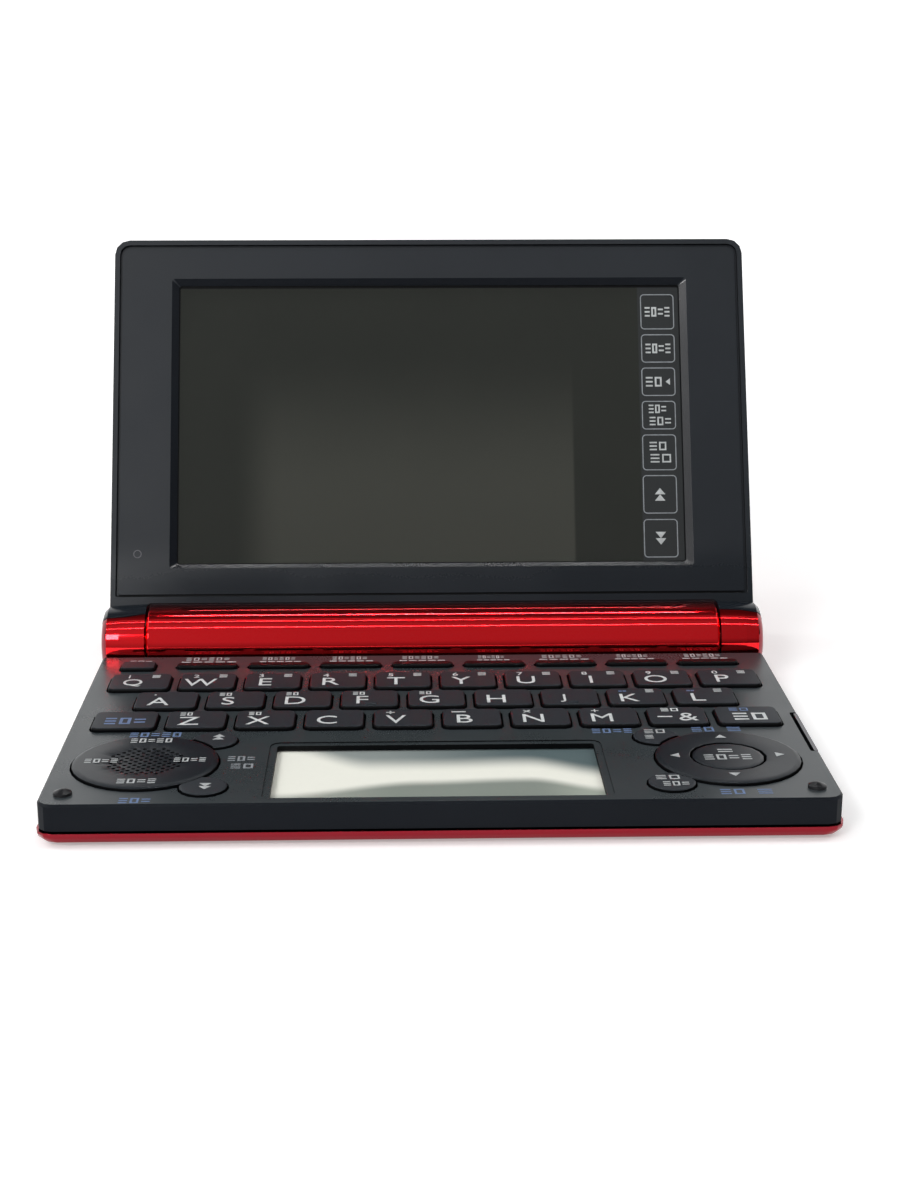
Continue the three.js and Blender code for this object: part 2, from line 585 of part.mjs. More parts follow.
function knuckleBlank(side) {
  const stations = [
    [knuckleInner, barrel.radius], [knuckleOuter - knuckle.shoulder * 3, barrel.radius - knuckle.taper],
    [knuckleOuter - knuckle.shoulder, barrel.radius - 2 * knuckle.taper],
    [knuckleOuter - knuckle.shoulder / 3, barrel.radius - 2 * knuckle.taper - knuckle.shoulderDrop],
    [knuckleOuter, barrel.radius - 2 * knuckle.taper - knuckle.endDrop],
  ];
  return turned(side > 0 ? stations : stations.map(([x, r]) => [-x, r]).reverse(), facets.barrel);
}

// The part of a knuckle that belongs to the black frame: its front skin below the lid,
// bounded by a line that drops a little towards the outer end
function capZone(side, grow) {
  const far = barrel.radius + overrun;
  const high = coverFace - seam + grow;
  const outline = (turn) => {
    const lift = grow / Math.cos(turn);
    return [[0, -lift], [0, high], [-far, high], [-far, -far * Math.tan(turn) - lift]];
  };
  const ends = [[knuckleInner - overrun, knuckle.innerCapDeg], [knuckleOuter + overrun, knuckle.outerCapDeg]];
  const rings = ends.map(([x, degrees]) => outline(radians(degrees)).map(([y, z]) => [side * x, y, z]));
  return cut(loft(side > 0 ? rings : rings.reverse()), coreRoom(seam - grow));
}

// Room round the inner part of the knuckles
function coreRoom(clear) {
  const [reach, radius] = [knuckleOuter + 2 * overrun, barrel.radius - knuckle.capSkin + clear];
  return turned([[-reach, radius], [reach, radius]], facets.barrel);
}

function lidFrameBody() {
  const low = lidFace;
  const panel = low + lid.panelDrop;
  const back = coverFace - seam;
  const near = barrel.radius - overrun;
  const frontRim = barrel.radius + seam + lid.lowerRim;
  const rimIn = lidOutline(lid.rim, frontRim);
  const panelIn = lid.rim + lid.groove;
  const panelOut = lidOutline(panelIn, frontRim + lid.groove, lid.panelFoot + panelIn);
  const lowerPlate = panel + lid.plate;
  const rim = cut(
    prism(lidOutline(0, near), low, back),
    prism(rimIn, low - overrun, low + lid.grooveDepth),
    prism(lidOutline(lid.wall, frontRim), lowerPlate, back + overrun),
  );
  const facePanel = prism(panelOut, panel, lowerPlate);
  const hole = loft([
    atHeight(screenOutline(screen.bevel + overrun), panel - overrun),
    atHeight(screenOutline(screen.bevel), panel),
    atHeight(screenOutline(0), lowerPlate),
    atHeight(screenOutline(0), back + overrun),
  ]);
  const caps = [-1, 1].map((side) => knuckleBlank(side).intersect(capZone(side, 0)));
  return joined(cut(joined(rim, facePanel), barrelRoom(), hole, coreRoom(seam)), ...caps);
}

// The screen opening, with its bevel wider at the top than at the bottom
function screenOutline(grow) {
  const share = grow / screen.bevel;
  return roundedBox(-screenHalf - grow, screenHalf + grow,
    -screenHigh - screen.highBevel * share, -screen.low + screen.lowBevel * share, screen.corner);
}

function lidCoverBody() {
  const near = deck.rearCorner;
  const height = lidBack - coverFace;
  const corner = lid.corner + lid.rim;
  const rings = lidEdge.riseShares.map((rise, i) => atHeight(
    lidOutline(lidEdge.inset * lidEdge.insetShares[i], near, corner), coverFace + height * rise));
  const hollow = prism(lidOutline(lid.wall + lid.rim / 2, barrel.radius + seam + lid.wall),
    coverFace - overrun, lidBack - lid.back);
  const knuckles = [-1, 1].map((side) => knuckleBlank(side));
  const shell = cut(loft(rings), barrelRoom(), hollow);
  const ribs = [-1, 1].map((side) => {
    const x = side * lidHalf * lid.ribShare;
    return block(x - lid.ribWidth / 2, x + lid.ribWidth / 2, -lidLength + lid.wall,
      -barrel.radius - lid.wall, coverFace + screen.thickness, lidBack - lid.back / 2);
  });
  const bossEnd = -knuckleInner + hinge.depth;
  const pinRoom = hinge.pinRadius + seat;
  const boss = turned([[-knuckleInner - overrun, hinge.bossRadius], [bossEnd, hinge.bossRadius]], facets.pin);
  const bossBore = turned([[-pinOuter, hinge.bossBore], [bossEnd + overrun, hinge.bossBore]], facets.pin);
  const pinBore = turned([[knuckleInner - overrun, pinRoom], [pinOuter + seam, pinRoom]], facets.pin);
  const capRooms = [-1, 1].map((side) => capZone(side, seam));
  return cut(joined(cut(joined(shell, ...knuckles), ...capRooms), boss, ...ribs), bossBore, pinBore);
}

// Steel hinge pin: fixed in the right knuckle, turning in the barrel's end
function pinBody() {
  const inner = barrelHalf - hinge.depth;
  return turned([
    [inner, hinge.pinRadius - seat], [inner + seam, hinge.pinRadius], [pinOuter, hinge.pinRadius],
  ], facets.pin);
}

function displayBody() {
  const low = lidFace + lid.panelDrop + lid.plate + seam;
  return prism(roundedBox(-screenHalf - screen.lap, screenHalf + screen.lap,
    -screenHigh - screen.lap, -screen.low + screen.lap, screen.corner), low, low + screen.thickness);
}

// Finishes
const finishes = {
  redGloss: { color: 0xa00614, roughness: 0.18, metalness: 0.0 },
  deckBlack: { color: 0x2c2f31, roughness: 0.45, metalness: 0.0 },
  lidBlack: { color: 0x24282a, roughness: 0.55, metalness: 0.0 },
  keyBlack: { color: 0x1f2124, roughness: 0.5, metalness: 0.0 },
  rubber: { color: 0x55585a, roughness: 0.8, metalness: 0.0 },
  boardGreen: { color: 0x1d5a36, roughness: 0.5, metalness: 0.0 },
  displayGrey: { color: 0x33352f, roughness: 0.15, metalness: 0.0 },
  memoSilver: { color: 0xb9bdb8, roughness: 0.2, metalness: 0.3 },
  cellSilver: { color: 0x9aa2a8, roughness: 0.3, metalness: 0.6 },
  steel: { color: 0xa9abad, roughness: 0.3, metalness: 1.0 },
};

function piece(name, finish, body) {
  const mesh = new THREE.Mesh(geometryOf(body), new THREE.MeshStandardMaterial(finishes[finish]));
  mesh.name = name;
  return mesh;
}

// The barrel and what it holds, about the hinge line
const onHinge = new THREE.Group();
onHinge.position.set(0, hinge.y, hinge.z);
const cellX = (cellTotal + cell.gap) / 2;
onHinge.add(
  piece('battery_barrel', 'redGloss', barrelBody()),
  piece('battery_cover', 'redGloss', coverBody()),
  piece('battery_left', 'cellSilver', cellBody(-cellX)),
  piece('battery_right', 'cellSilver', cellBody(cellX)),
);

// The lid and its pin, opened to the angle at which it stands
const lidGroup = new THREE.Group();
lidGroup.rotation.x = -radians(hinge.restDeg);
lidGroup.add(
  piece('lid_cover', 'redGloss', lidCoverBody()),
  piece('lid_frame', 'lidBlack', lidFrameBody()),
  piece('display_panel', 'displayGrey', displayBody()),
  piece('hinge_pin', 'steel', pinBody()),
);
onHinge.add(lidGroup);

// The lower housing and what lies in it
const dictionary = new THREE.Group();
dictionary.add(
  onHinge,
  piece('bottom_case', 'redGloss', trayBody()),
  piece('top_case', 'deckBlack', deckBody()),
  piece('main_board', 'boardGreen', boardBody()),
  piece('key_sheet', 'rubber', sheetBody()),
  piece('sub_display', 'memoSilver', memoBody()),
  piece('speaker', 'steel', speakerBody()),
  piece('stylus', 'keyBlack', stylusBody()),
  ...plainKeys.map((key) => piece(key.name, 'keyBlack', keyBody(key))),
  ...tuckKeys.map((key) => piece(key.name, 'keyBlack', tuckBody(key))),
  piece('pad_left', 'keyBlack', padBody(leftX)),
  piece('pad_ring', 'keyBlack', ringBody(rightX)),
  piece('key_enter', 'keyBlack', enterBody(rightX)),
);

// Stand the open part over the centre of its own box
const box = new THREE.Box3().setFromObject(dictionary, true);
const centre = box.getCenter(new THREE.Vector3());
dictionary.position.set(-centre.x, -centre.y, -box.min.z);
const model = new THREE.Group();
model.add(dictionary);

export default model;
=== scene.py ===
# %% [markdown]
# A pocket electronic dictionary, dressed for its portrait. The solids come packed from the
# construction model: two housings, a battery barrel, a display lid and about forty keys. This
# script keeps every one of them where it is, rounds the edges that moulded plastic always has,
# gives each piece its finish, and adds what is too thin to be a solid of its own: the printed
# legends, the speaker's holes, the touch keys beside the display, screws, feet and marks.

import json
from math import cos, degrees, pi, radians, sin

import bpy
from mathutils import Matrix, Vector

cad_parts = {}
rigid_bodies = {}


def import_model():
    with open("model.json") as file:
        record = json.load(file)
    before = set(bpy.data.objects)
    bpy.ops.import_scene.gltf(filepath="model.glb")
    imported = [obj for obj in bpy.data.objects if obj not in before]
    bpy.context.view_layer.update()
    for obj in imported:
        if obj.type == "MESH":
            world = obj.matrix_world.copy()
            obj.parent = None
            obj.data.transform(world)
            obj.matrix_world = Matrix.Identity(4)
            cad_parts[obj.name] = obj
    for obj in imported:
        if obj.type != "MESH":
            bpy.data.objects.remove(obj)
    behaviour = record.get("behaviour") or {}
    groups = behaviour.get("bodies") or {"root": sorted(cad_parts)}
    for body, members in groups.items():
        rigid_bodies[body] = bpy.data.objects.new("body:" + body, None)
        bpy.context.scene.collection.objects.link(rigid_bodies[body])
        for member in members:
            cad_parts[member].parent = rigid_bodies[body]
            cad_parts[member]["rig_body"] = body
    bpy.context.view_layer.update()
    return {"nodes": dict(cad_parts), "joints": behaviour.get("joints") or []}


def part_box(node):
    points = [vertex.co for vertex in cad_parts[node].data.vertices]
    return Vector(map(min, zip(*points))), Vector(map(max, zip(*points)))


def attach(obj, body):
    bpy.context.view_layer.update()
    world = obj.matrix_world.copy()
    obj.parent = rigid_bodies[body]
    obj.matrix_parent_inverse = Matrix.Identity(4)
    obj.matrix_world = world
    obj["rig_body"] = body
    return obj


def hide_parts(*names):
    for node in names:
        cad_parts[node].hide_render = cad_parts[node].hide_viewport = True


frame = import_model()

# %% [markdown]
# All sizes below are written in millimetres, as on a drawing, and one factor turns them into
# metres. The frame's origin lies under the middle of the open dictionary. Two other places are
# handier to draw from: the front edge of the deck for the keyboard, and the hinge line for the
# lid, whose own axes run right, up the lid, and out of its face towards the reader.

# %% Units and the two drawing places
MM = 0.001
hinge_joint = next(j for j in frame["joints"] if j["name"] == "lid_hinge")
HINGE = Vector(hinge_joint["pos_m"])
HINGE_FROM_FRONT = 95.5 * MM
FRONT = HINGE.y - HINGE_FROM_FRONT
DECK_TOP = 8.5 * MM
LID_RISE = radians(180 - 114.5)
DECK_PLACE = Matrix.Translation((0, FRONT, DECK_TOP))
LID_PLACE = Matrix.Translation(HINGE) @ Matrix.Rotation(LID_RISE, 4, "X")
print("hinge line at", [round(v, 4) for v in HINGE], "deck front at", round(FRONT, 4))

# %% [markdown]
# The camera stands a little left of the middle, 40 cm in front and 14 cm up, and looks down by
# about sixteen degrees. Those numbers were found by matching straight edges of the case. The
# view is built from its own axes, so no turn order can be mistaken.

# %% Camera
VIEW_FROM = (-0.00691, -0.40108, 0.14364)
PITCH, YAW = radians(16.324), radians(1.440)
ahead = Vector((sin(YAW) * cos(PITCH), cos(YAW) * cos(PITCH), -sin(PITCH)))
right = Vector((cos(YAW), -sin(YAW), 0))
up = right.cross(ahead)
camera_data = bpy.data.cameras.new("portrait")
camera_data.sensor_width, camera_data.lens = 36, 59.006
camera_data.clip_start, camera_data.clip_end = 0.01, 50
camera = bpy.data.objects.new("portrait", camera_data)
bpy.context.scene.collection.objects.link(camera)
camera.matrix_world = Matrix.Translation(VIEW_FROM) @ Matrix((right, up, -ahead)).transposed().to_4x4()
bpy.context.scene.camera = camera
print("camera looks along", [round(v, 3) for v in ahead])

# %% [markdown]
# A finish is a small graph of nodes. A Wire wraps one output of a node, so that sums can be
# written as sums. A Finish is a material whose node method makes any node, from the values or
# wires of its sockets and from its settings. The room needs such a graph too, so a Finish can
# also be laid over the world.

# %% Wires and finishes
def arithmetic(operation):
    """The two methods of an arithmetic sign, with the wire before it or behind it."""
    def wire_first(self, other):
        return self.maths(operation, self, other)

    def wire_last(self, other):
        return self.maths(operation, other, self)

    return wire_first, wire_last


class Wire:
    """One output of a node, usable in sums and products."""
    def __init__(self, finish, socket):
        self.finish, self.socket = finish, socket

    def maths(self, operation, *values):
        return self.finish.node("ShaderNodeMath", dict(enumerate(values)), operation=operation)

    __add__, __radd__ = arithmetic("ADD")
    __sub__, __rsub__ = arithmetic("SUBTRACT")
    __mul__, __rmul__ = arithmetic("MULTIPLY")
    __truediv__, _ = arithmetic("DIVIDE")
    most, _ = arithmetic("MAXIMUM")

    def __abs__(self):
        return self.maths("ABSOLUTE", self)


class Finish:
    """A material, or the world, and the one method that adds nodes to it."""

    def __init__(self, name, world=None):
        self.material = world or bpy.data.materials.new(name)
        self.material.use_nodes = True
        self.tree = self.material.node_tree
        self.tree.nodes.clear()
        self.place = self.node("ShaderNodeTexCoord", out="Object")

    def node(self, kind, inputs=None, out=0, **settings):
        made = self.tree.nodes.new(kind)
        for key, value in settings.items():
            setattr(made, key, value)
        for key, value in (inputs or {}).items():
            if isinstance(value, Wire):
                self.tree.links.new(value.socket, made.inputs[key])
            else:
                made.inputs[key].default_value = value
        return Wire(self, made.outputs[out])

    def noise(self, scale, detail=2.0):
        return self.node("ShaderNodeTexNoise", {"Vector": self.place, "Scale": scale, "Detail": detail})

    def mix(self, share, first, second):
        """Two colours mixed. That node's sockets share their names, so they are told by number."""
        return self.node("ShaderNodeMix", {0: share, 6: first, 7: second}, out=2, data_type="RGBA")

    def ramp(self, value, low, high):
        """0 at low, 1 at high, and a soft step between; low may be the larger of the two."""
        inputs = {"Value": value, "From Min": low, "From Max": high}
        return self.node("ShaderNodeMapRange", inputs, interpolation_type="SMOOTHSTEP")

    def axes(self, place=None):
        split = self.node("ShaderNodeSeparateXYZ", {"Vector": place or self.place})
        return [Wire(self, output) for output in split.socket.node.outputs]

    def bump(self, height, depth):
        return self.node("ShaderNodeBump", {"Height": height, "Distance": depth})

    def surface(self, colour, roughness, **more):
        names = {"metallic": "Metallic", "coat": "Coat Weight", "coat_roughness": "Coat Roughness",
                 "normal": "Normal", "gloss": "Specular IOR Level", "glow": "Emission Color",
                 "glow_strength": "Emission Strength"}
        inputs = {"Base Color": colour, "Roughness": roughness}
        inputs.update({names[key]: value for key, value in more.items()})
        shader = self.node("ShaderNodeBsdfPrincipled", inputs)
        output = self.tree.nodes.new("ShaderNodeOutputMaterial")
        self.tree.links.new(shader.socket, output.inputs["Surface"])
        return self.material


def rgb(*levels):
    """A colour as it is read off a screen, 0 to 255, turned into light."""
    shares = [level / 255 for level in levels]
    return tuple(v / 12.92 if v < 0.04 else ((v + 0.055) / 1.055) ** 2.4 for v in shares) + (1,)


print("colour of the deck as light", [round(v, 3) for v in rgb(48, 54, 57)])

# %% [markdown]
# The picture is a product shot on plain white. The floor is pale and matt, and what the camera,
# a mirror or a glass sees of it is lifted a little, so that it reads as white and still keeps
# the shadow. A low white screen closes the gap between the floor and the horizon.

# %% Floor, backdrop and surroundings
FLOOR_SIZE, SCREEN_BACK, SCREEN_WIDTH, SCREEN_HEIGHT = 8.0, 1.3, 8.0, 1.6
NEAR_LIFT, FAR_LIFT, LIFT_FROM, LIFT_TO = 0.34, 0.78, 0.11, 0.7


def grey(level):
    return (level, level, level, 1)


def white_ground(name, albedo, near_lift=NEAR_LIFT):
    """Matt white that looks brighter than it is, and more so away from the object."""
    ground = Finish(name)
    seen, mirrored, refracted = (ground.node("ShaderNodeLightPath", out=f"Is {kind} Ray")
                                 for kind in ("Camera", "Glossy", "Transmission"))
    looked_at = seen.most(mirrored).most(refracted)
    away = ground.node("ShaderNodeVectorMath", {0: ground.place}, out="Value", operation="LENGTH")
    lift = ground.mix(ground.ramp(away, LIFT_FROM, LIFT_TO), grey(near_lift), grey(FAR_LIFT))
    glow = ground.mix(looked_at, (0, 0, 0, 1), lift)
    speck = ground.mix(ground.noise(3.0), grey(albedo), grey(albedo * 0.99))
    return ground.surface(speck, 0.9, gloss=0.0, glow=glow, glow_strength=1.0)


bpy.ops.object.select_all(action="DESELECT")
bpy.ops.mesh.primitive_plane_add(size=FLOOR_SIZE, location=(0, 0, 0))
floor = bpy.context.object
floor.name = "white_floor"
floor.data.materials.append(white_ground("white_floor", 0.92))
bpy.ops.mesh.primitive_plane_add(size=1.0, rotation=(pi / 2, 0, 0))
backdrop = bpy.context.object
backdrop.name = "white_screen"
backdrop.scale = (SCREEN_WIDTH, SCREEN_HEIGHT, 1)
bpy.ops.object.transform_apply(location=True, rotation=True, scale=True)
backdrop.data.transform(Matrix.Translation((0, SCREEN_BACK, SCREEN_HEIGHT / 2)))
backdrop.data.materials.append(white_ground("white_screen", 0.8, near_lift=FAR_LIFT))
print("floor", FLOOR_SIZE, "m, screen", SCREEN_WIDTH, "x", SCREEN_HEIGHT, "m")

# %% [markdown]
# The room is pale all round, a little brighter on the left, and dim overhead towards the back, as
# a studio is whose windows are behind the photographer. Polished lacquer mirrors that room, so
# the barrel is bright red in the middle and dark along its top and its foot.

# %% The room
PALE_LIGHT, DIM_LIGHT = 0.40, 0.06
DIM_FROM_HEIGHT, DIM_FROM_FRONT = (0.40, 0.65), (0.60, -0.30)
LEFT_FROM, RIGHT_FROM, SIDE_LIGHT = (0.02, -0.22), (0.12, 0.30), 0.12
LOW_FROM, LOW_LIGHT = (0.30, 0.0), 0.19
world = bpy.context.scene.world or bpy.data.worlds.new("room")
bpy.context.scene.world = world
room = Finish("room", world)
to_x, to_y, to_z = room.axes(room.node("ShaderNodeTexCoord", out="Generated"))
dim = room.ramp(to_z, *DIM_FROM_HEIGHT) * room.ramp(to_y * -1.0, *DIM_FROM_FRONT)
pale = room.ramp(to_x, *LEFT_FROM) * SIDE_LIGHT + PALE_LIGHT
pale = pale - room.ramp(to_x, *RIGHT_FROM) * SIDE_LIGHT
pale = pale - room.ramp(to_z, *LOW_FROM) * LOW_LIGHT
strength = (1.0 - dim) * pale + dim * DIM_LIGHT
background = room.node("ShaderNodeBackground", {"Color": (1, 1, 1, 1), "Strength": strength})
surroundings = room.tree.nodes.new("ShaderNodeOutputWorld")
room.tree.links.new(background.socket, surroundings.inputs["Surface"])
bpy.context.scene.view_settings.view_transform = "Standard"
print("room light, pale and dim", PALE_LIGHT, DIM_LIGHT)

# %% [markdown]
# One soft box stands in front on the left and grazes the lid. Two more hang high on both sides and
# light the keys. Four thin tubes hang above, in line with the barrel: each shows as a bright line
# along the red lacquer, and the short one as the sharp line that ends just inside the knuckles.

# %% Lamps
def soft_light(name, place, target, size, watts, depth=None):
    data = bpy.data.lights.new(name, "AREA")
    data.shape = "RECTANGLE"
    data.size, data.size_y = size, depth or size
    data.energy = watts
    lamp = bpy.data.objects.new(name, data)
    bpy.context.scene.collection.objects.link(lamp)
    aim = (Vector(target) - Vector(place)).to_track_quat("-Z", "Y")
    lamp.matrix_world = Matrix.Translation(place) @ aim.to_matrix().to_4x4()
    return lamp


def tube_light(name, elevation, distance, length, thickness, watts, shift=0.0):
    """A thin lamp parallel to X, seen from the barrel at that elevation above the rear."""
    turn = radians(elevation)
    place = Vector((shift, HINGE.y + distance * cos(turn), HINGE.z + distance * sin(turn)))
    return soft_light(name, place, (shift, HINGE.y, HINGE.z), length, watts, thickness)


AIM = (0, 0, 0.03)
BOX_SIZE, TUBE_AWAY, TUBE_LONG = 0.6, 0.6, 0.9
soft_light("left_front", (-0.54, -0.95, 0.70), AIM, size=0.32, watts=5.6)
soft_light("left_high", (-0.80, 0.0, 0.85), AIM, size=BOX_SIZE, watts=3.4)
soft_light("right_high", (0.80, 0.0, 0.85), AIM, size=BOX_SIZE, watts=2.4)
tube_light("short_tube", 77.3, 0.4, 0.221, thickness=0.0045, watts=0.19, shift=0.0065)
tube_light("faint_tube", 93, TUBE_AWAY, TUBE_LONG, thickness=0.008, watts=0.03)
tube_light("middle_tube", 99.3, TUBE_AWAY, TUBE_LONG, thickness=0.006, watts=0.27)
tube_light("front_tube", 119.7, TUBE_AWAY, TUBE_LONG, thickness=0.006, watts=0.36)

# %% [markdown]
# Moulded plastic is never one flat tone. Under a lens it shows the fine grain of the mould, a
# slow drift in its gloss, and a polish where fingers rub. Each finish below starts from one
# colour and adds those three at their real scale. Most colours are those of the real thing, but
# the matt wall and the shaded wall finishes are painted shade, and the polished bevel is painted
# a little lighter than the lid, as painted highlight. The red is another matter: flakes of metal
# under a clear coat. It acts as a mirror, so it looks bright where it faces the pale room. From
# just in front of the hinge line backwards it is mixed deeper, as painted shade: along the top
# of the barrel it stands in for the dark lid that the lacquer mirrors there, and at the rear,
# where the lacquer faces the white floor and would glare, it then reads as the same red.

# %% Plastic finishes
GRAIN, DRIFT, FLAKES = 2600.0, 14.0, 9000.0
POLISH_REACH = (15 * MM, 34 * MM)
# Painted shade: from this band just in front of the hinge line backwards, the red is mixed deeper.
PAINTED_SHADE_FROM = (-3.5 * MM, -2.2 * MM)
SHADED_RED, SHADED_DEEP_RED = rgb(182, 13, 26), rgb(166, 9, 20)


def grained_plastic(name, colours, roughness, grain_depth, gloss=0.5, polish=0.0):
    """Satin plastic: mould grain, a slow drift of gloss, and a lighter tone on rubbed spots.
    It can be more polished towards the hinge line, where the mould was polished."""
    colour, worn = (rgb(*levels) for levels in colours)
    finish = Finish(name)
    drift = finish.ramp(finish.noise(DRIFT * 3, 3.0), 0.35, 0.7)
    fine = finish.noise(GRAIN, 1.0)
    toned = finish.mix(drift * 0.5 + fine * 0.3, colour, worn)
    rough = drift * 0.08 + fine * 0.06 + (roughness - 0.07)
    if polish:
        back, up = finish.axes()[1:]
        away = finish.ramp(abs(back - HINGE.y) + abs(up - HINGE.z), *POLISH_REACH)
        rough = rough - (1.0 - away) * polish
    grain = finish.bump(fine, grain_depth * MM)
    return finish.surface(toned, rough, gloss=gloss, normal=grain)


def lacquered(name, colour, deep):
    """Red metallic lacquer: fine flakes under a clear coat, and a deeper red, painted shade, from just in
    front of the hinge line backwards, over the top of the barrel.
    """
    finish = Finish(name)
    flakes = finish.node("ShaderNodeTexVoronoi", {"Vector": finish.place, "Scale": FLAKES}, out="Color")
    flake = finish.axes(flakes)[0]
    drift = finish.noise(DRIFT, 2.0)
    toned = finish.mix(flake * 0.22 + drift * 0.15, colour, deep)
    # Painted shade: over the barrel's top and all that lies further back, the red is mixed deeper.
    painted_shade = finish.ramp(finish.axes()[1], HINGE.y + PAINTED_SHADE_FROM[0], HINGE.y + PAINTED_SHADE_FROM[1])
    toned = finish.mix(painted_shade, toned, finish.mix(flake, SHADED_RED, SHADED_DEEP_RED))
    rough = flake * 0.01 + drift * 0.01 + 0.06
    return finish.surface(toned, rough, metallic=1.0, coat=0.3, coat_roughness=0.02)


RED = rgb(252, 24, 34)
DEEP_RED = rgb(226, 16, 26)
TRAY_RED, TRAY_DEEP = rgb(139, 18, 34), rgb(118, 12, 26)
FINE_GRAIN, PLAIN_GRAIN, DEEP_GRAIN = 0.0005, 0.001, 0.003
deck_plastic = grained_plastic("satin_deck", ((48, 54, 57), (54, 60, 63)), 0.3, PLAIN_GRAIN, gloss=0.26)
# Painted shade: a dark matt finish for walls, and for bevels that turn away from the light.
wall_shade_plastic = grained_plastic("matt_wall_shade", ((16, 20, 26), (22, 26, 32)), 0.45, DEEP_GRAIN, gloss=0.1)
lid_plastic = grained_plastic("matt_lid", ((21, 26, 32), (27, 32, 38)), 0.5, PLAIN_GRAIN, 0.29, polish=0.3)
key_plastic = grained_plastic("satin_keys", ((41, 45, 50), (47, 51, 56)), 0.48, PLAIN_GRAIN, gloss=0.15)
pad_plastic = grained_plastic("satin_pads", ((22, 27, 33), (28, 33, 39)), 0.33, PLAIN_GRAIN, gloss=0.2)
# Painted shade: a near-black finish for wells, gaps, holes and the walls of keys and pads.
shade_plastic = grained_plastic("shaded_wall", ((5, 6, 8), (9, 10, 12)), 0.5, PLAIN_GRAIN, gloss=0.1)
bar_plastic = grained_plastic("dark_bars", ((10, 11, 13), (14, 15, 18)), 0.4, PLAIN_GRAIN, gloss=0.15)
stylus_plastic = grained_plastic("smooth_stylus", ((64, 63, 70), (72, 71, 78)), 0.3, PLAIN_GRAIN)
# Polished, and painted a little lighter than the lid as a painted highlight, for bevels that face the
# light.
lit_bevel_plastic = grained_plastic("polished_lit_bevel", ((30, 32, 36), (34, 36, 40)), 0.24, FINE_GRAIN, gloss=0.9)
red_lacquer = lacquered("red_lacquer", RED, DEEP_RED)
# The tray's own deeper red, used also as painted shade on the round ends of the knuckles.
tray_and_knuckle_shade_lacquer = lacquered("tray_and_knuckle_shade_lacquer", TRAY_RED, TRAY_DEEP)
print("plastic grain", GRAIN, "per metre")

# %% [markdown]
# The model's solids have knife edges. A copy of each is welded, flat faces are joined, and
# every real edge gets a small round, which is what catches the light on a moulded part. The copy
# stands in for its solid and rides on the same body, so every joint still works.

# %% How a solid is rounded
SMOOTH_ANGLE, FLAT_ANGLE = radians(42), radians(0.6)
WELD = 0.002 * MM
WALL_SLOPE = 0.72
ROUND_LIMIT, ROUND_FROM = 0.985, 7.6 * MM
done = {}


def active(*objects):
    bpy.ops.object.select_all(action="DESELECT")
    for item in objects:
        item.select_set(True)
    bpy.context.view_layer.objects.active = objects[0]


def apply_modifiers(item):
    active(item)
    for name in [m.name for m in item.modifiers]:
        bpy.ops.object.modifier_apply(modifier=name)


def round_edges(item, width, steps, angle):
    """Rounds every edge that is sharper than an angle in degrees; the width is in millimetres."""
    bevel = item.modifiers.new("round", "BEVEL")
    bevel.width, bevel.segments = width * MM, steps
    bevel.limit_method, bevel.angle_limit = "ANGLE", radians(angle)
    apply_modifiers(item)


def cut_with(item, cutter):
    """Takes one body away from another and then throws it away."""
    step = item.modifiers.new("cut", "BOOLEAN")
    step.operation, step.solver, step.object = "DIFFERENCE", "EXACT", cutter
    apply_modifiers(item)
    bpy.data.objects.remove(cutter)


def rounded_cylinder(sides, radius, length, edge, steps, place=(0, 0, 0), turn=(0, 0, 0)):
    """A cylinder with rounded rims, in millimetres but for its place, along Z unless it is turned."""
    bpy.ops.object.select_all(action="DESELECT")
    bpy.ops.mesh.primitive_cylinder_add(vertices=sides, radius=radius * MM, depth=length * MM,
                                        location=place, rotation=turn)
    item = bpy.context.object
    bpy.ops.object.transform_apply(location=True, rotation=True, scale=True)
    round_edges(item, edge, steps, 40)
    return item


def shade(item):
    """Round faces shade round, and flat faces stay flat beside their rounded edges."""
    active(item)
    bpy.ops.object.shade_smooth_by_angle(angle=SMOOTH_ANGLE)
    weigh = item.modifiers.new("flat faces stay flat", "WEIGHTED_NORMAL")
    weigh.weight, weigh.keep_sharp = 100, True
    apply_modifiers(item)


def round_about_hinge(item):
    """Faces that lie round the hinge line get the true normals of a cylinder, so that a long
    reflection stays straight across the facets."""
    mesh = item.data
    normals = [tuple(corner.vector) for corner in mesh.corner_normals]
    for face in mesh.polygons:
        out = Vector((0, face.center.y - HINGE.y, face.center.z - HINGE.z))
        if face.normal.dot(out.normalized()) < ROUND_LIMIT or out.length < ROUND_FROM:
            continue
        lean = face.normal.x
        for loop in face.loop_indices:
            spot = mesh.vertices[mesh.loops[loop].vertex_index].co
            true = Vector((0, spot.y - HINGE.y, spot.z - HINGE.z)).normalized()
            normals[loop] = (true + Vector((lean, 0, 0))).normalized()
    mesh.normals_split_custom_set(normals)


def refined(node, finish, width, steps=2, angle=30, walls=None):
    """A copy of a solid with rounded edges, standing in for it; its walls may get a second finish, which is
    painted shade where it is used.
    """
    source = frame["nodes"][node]
    item = bpy.data.objects.new(node + "_moulded", source.data.copy())
    bpy.context.scene.collection.objects.link(item)
    active(item)
    bpy.ops.object.mode_set(mode="EDIT")
    bpy.ops.mesh.select_all(action="SELECT")
    bpy.ops.mesh.remove_doubles(threshold=WELD)
    bpy.ops.mesh.dissolve_limited(angle_limit=FLAT_ANGLE)
    bpy.ops.object.mode_set(mode="OBJECT")
    if width:
        round_edges(item, width, steps, angle)
    shade(item)
    item.data.materials.clear()
    item.data.materials.append(finish)
    if walls:
        item.data.materials.append(walls)
        # Walls get the second finish; where it is given, it is painted shade.
        for face in item.data.polygons:
            face.material_index = int(face.normal.z < WALL_SLOPE)
    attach(item, source["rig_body"])
    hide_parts(node)
    done[node] = item
    return item


print("edges sharper than", round(degrees(SMOOTH_ANGLE)), "degrees stay sharp")
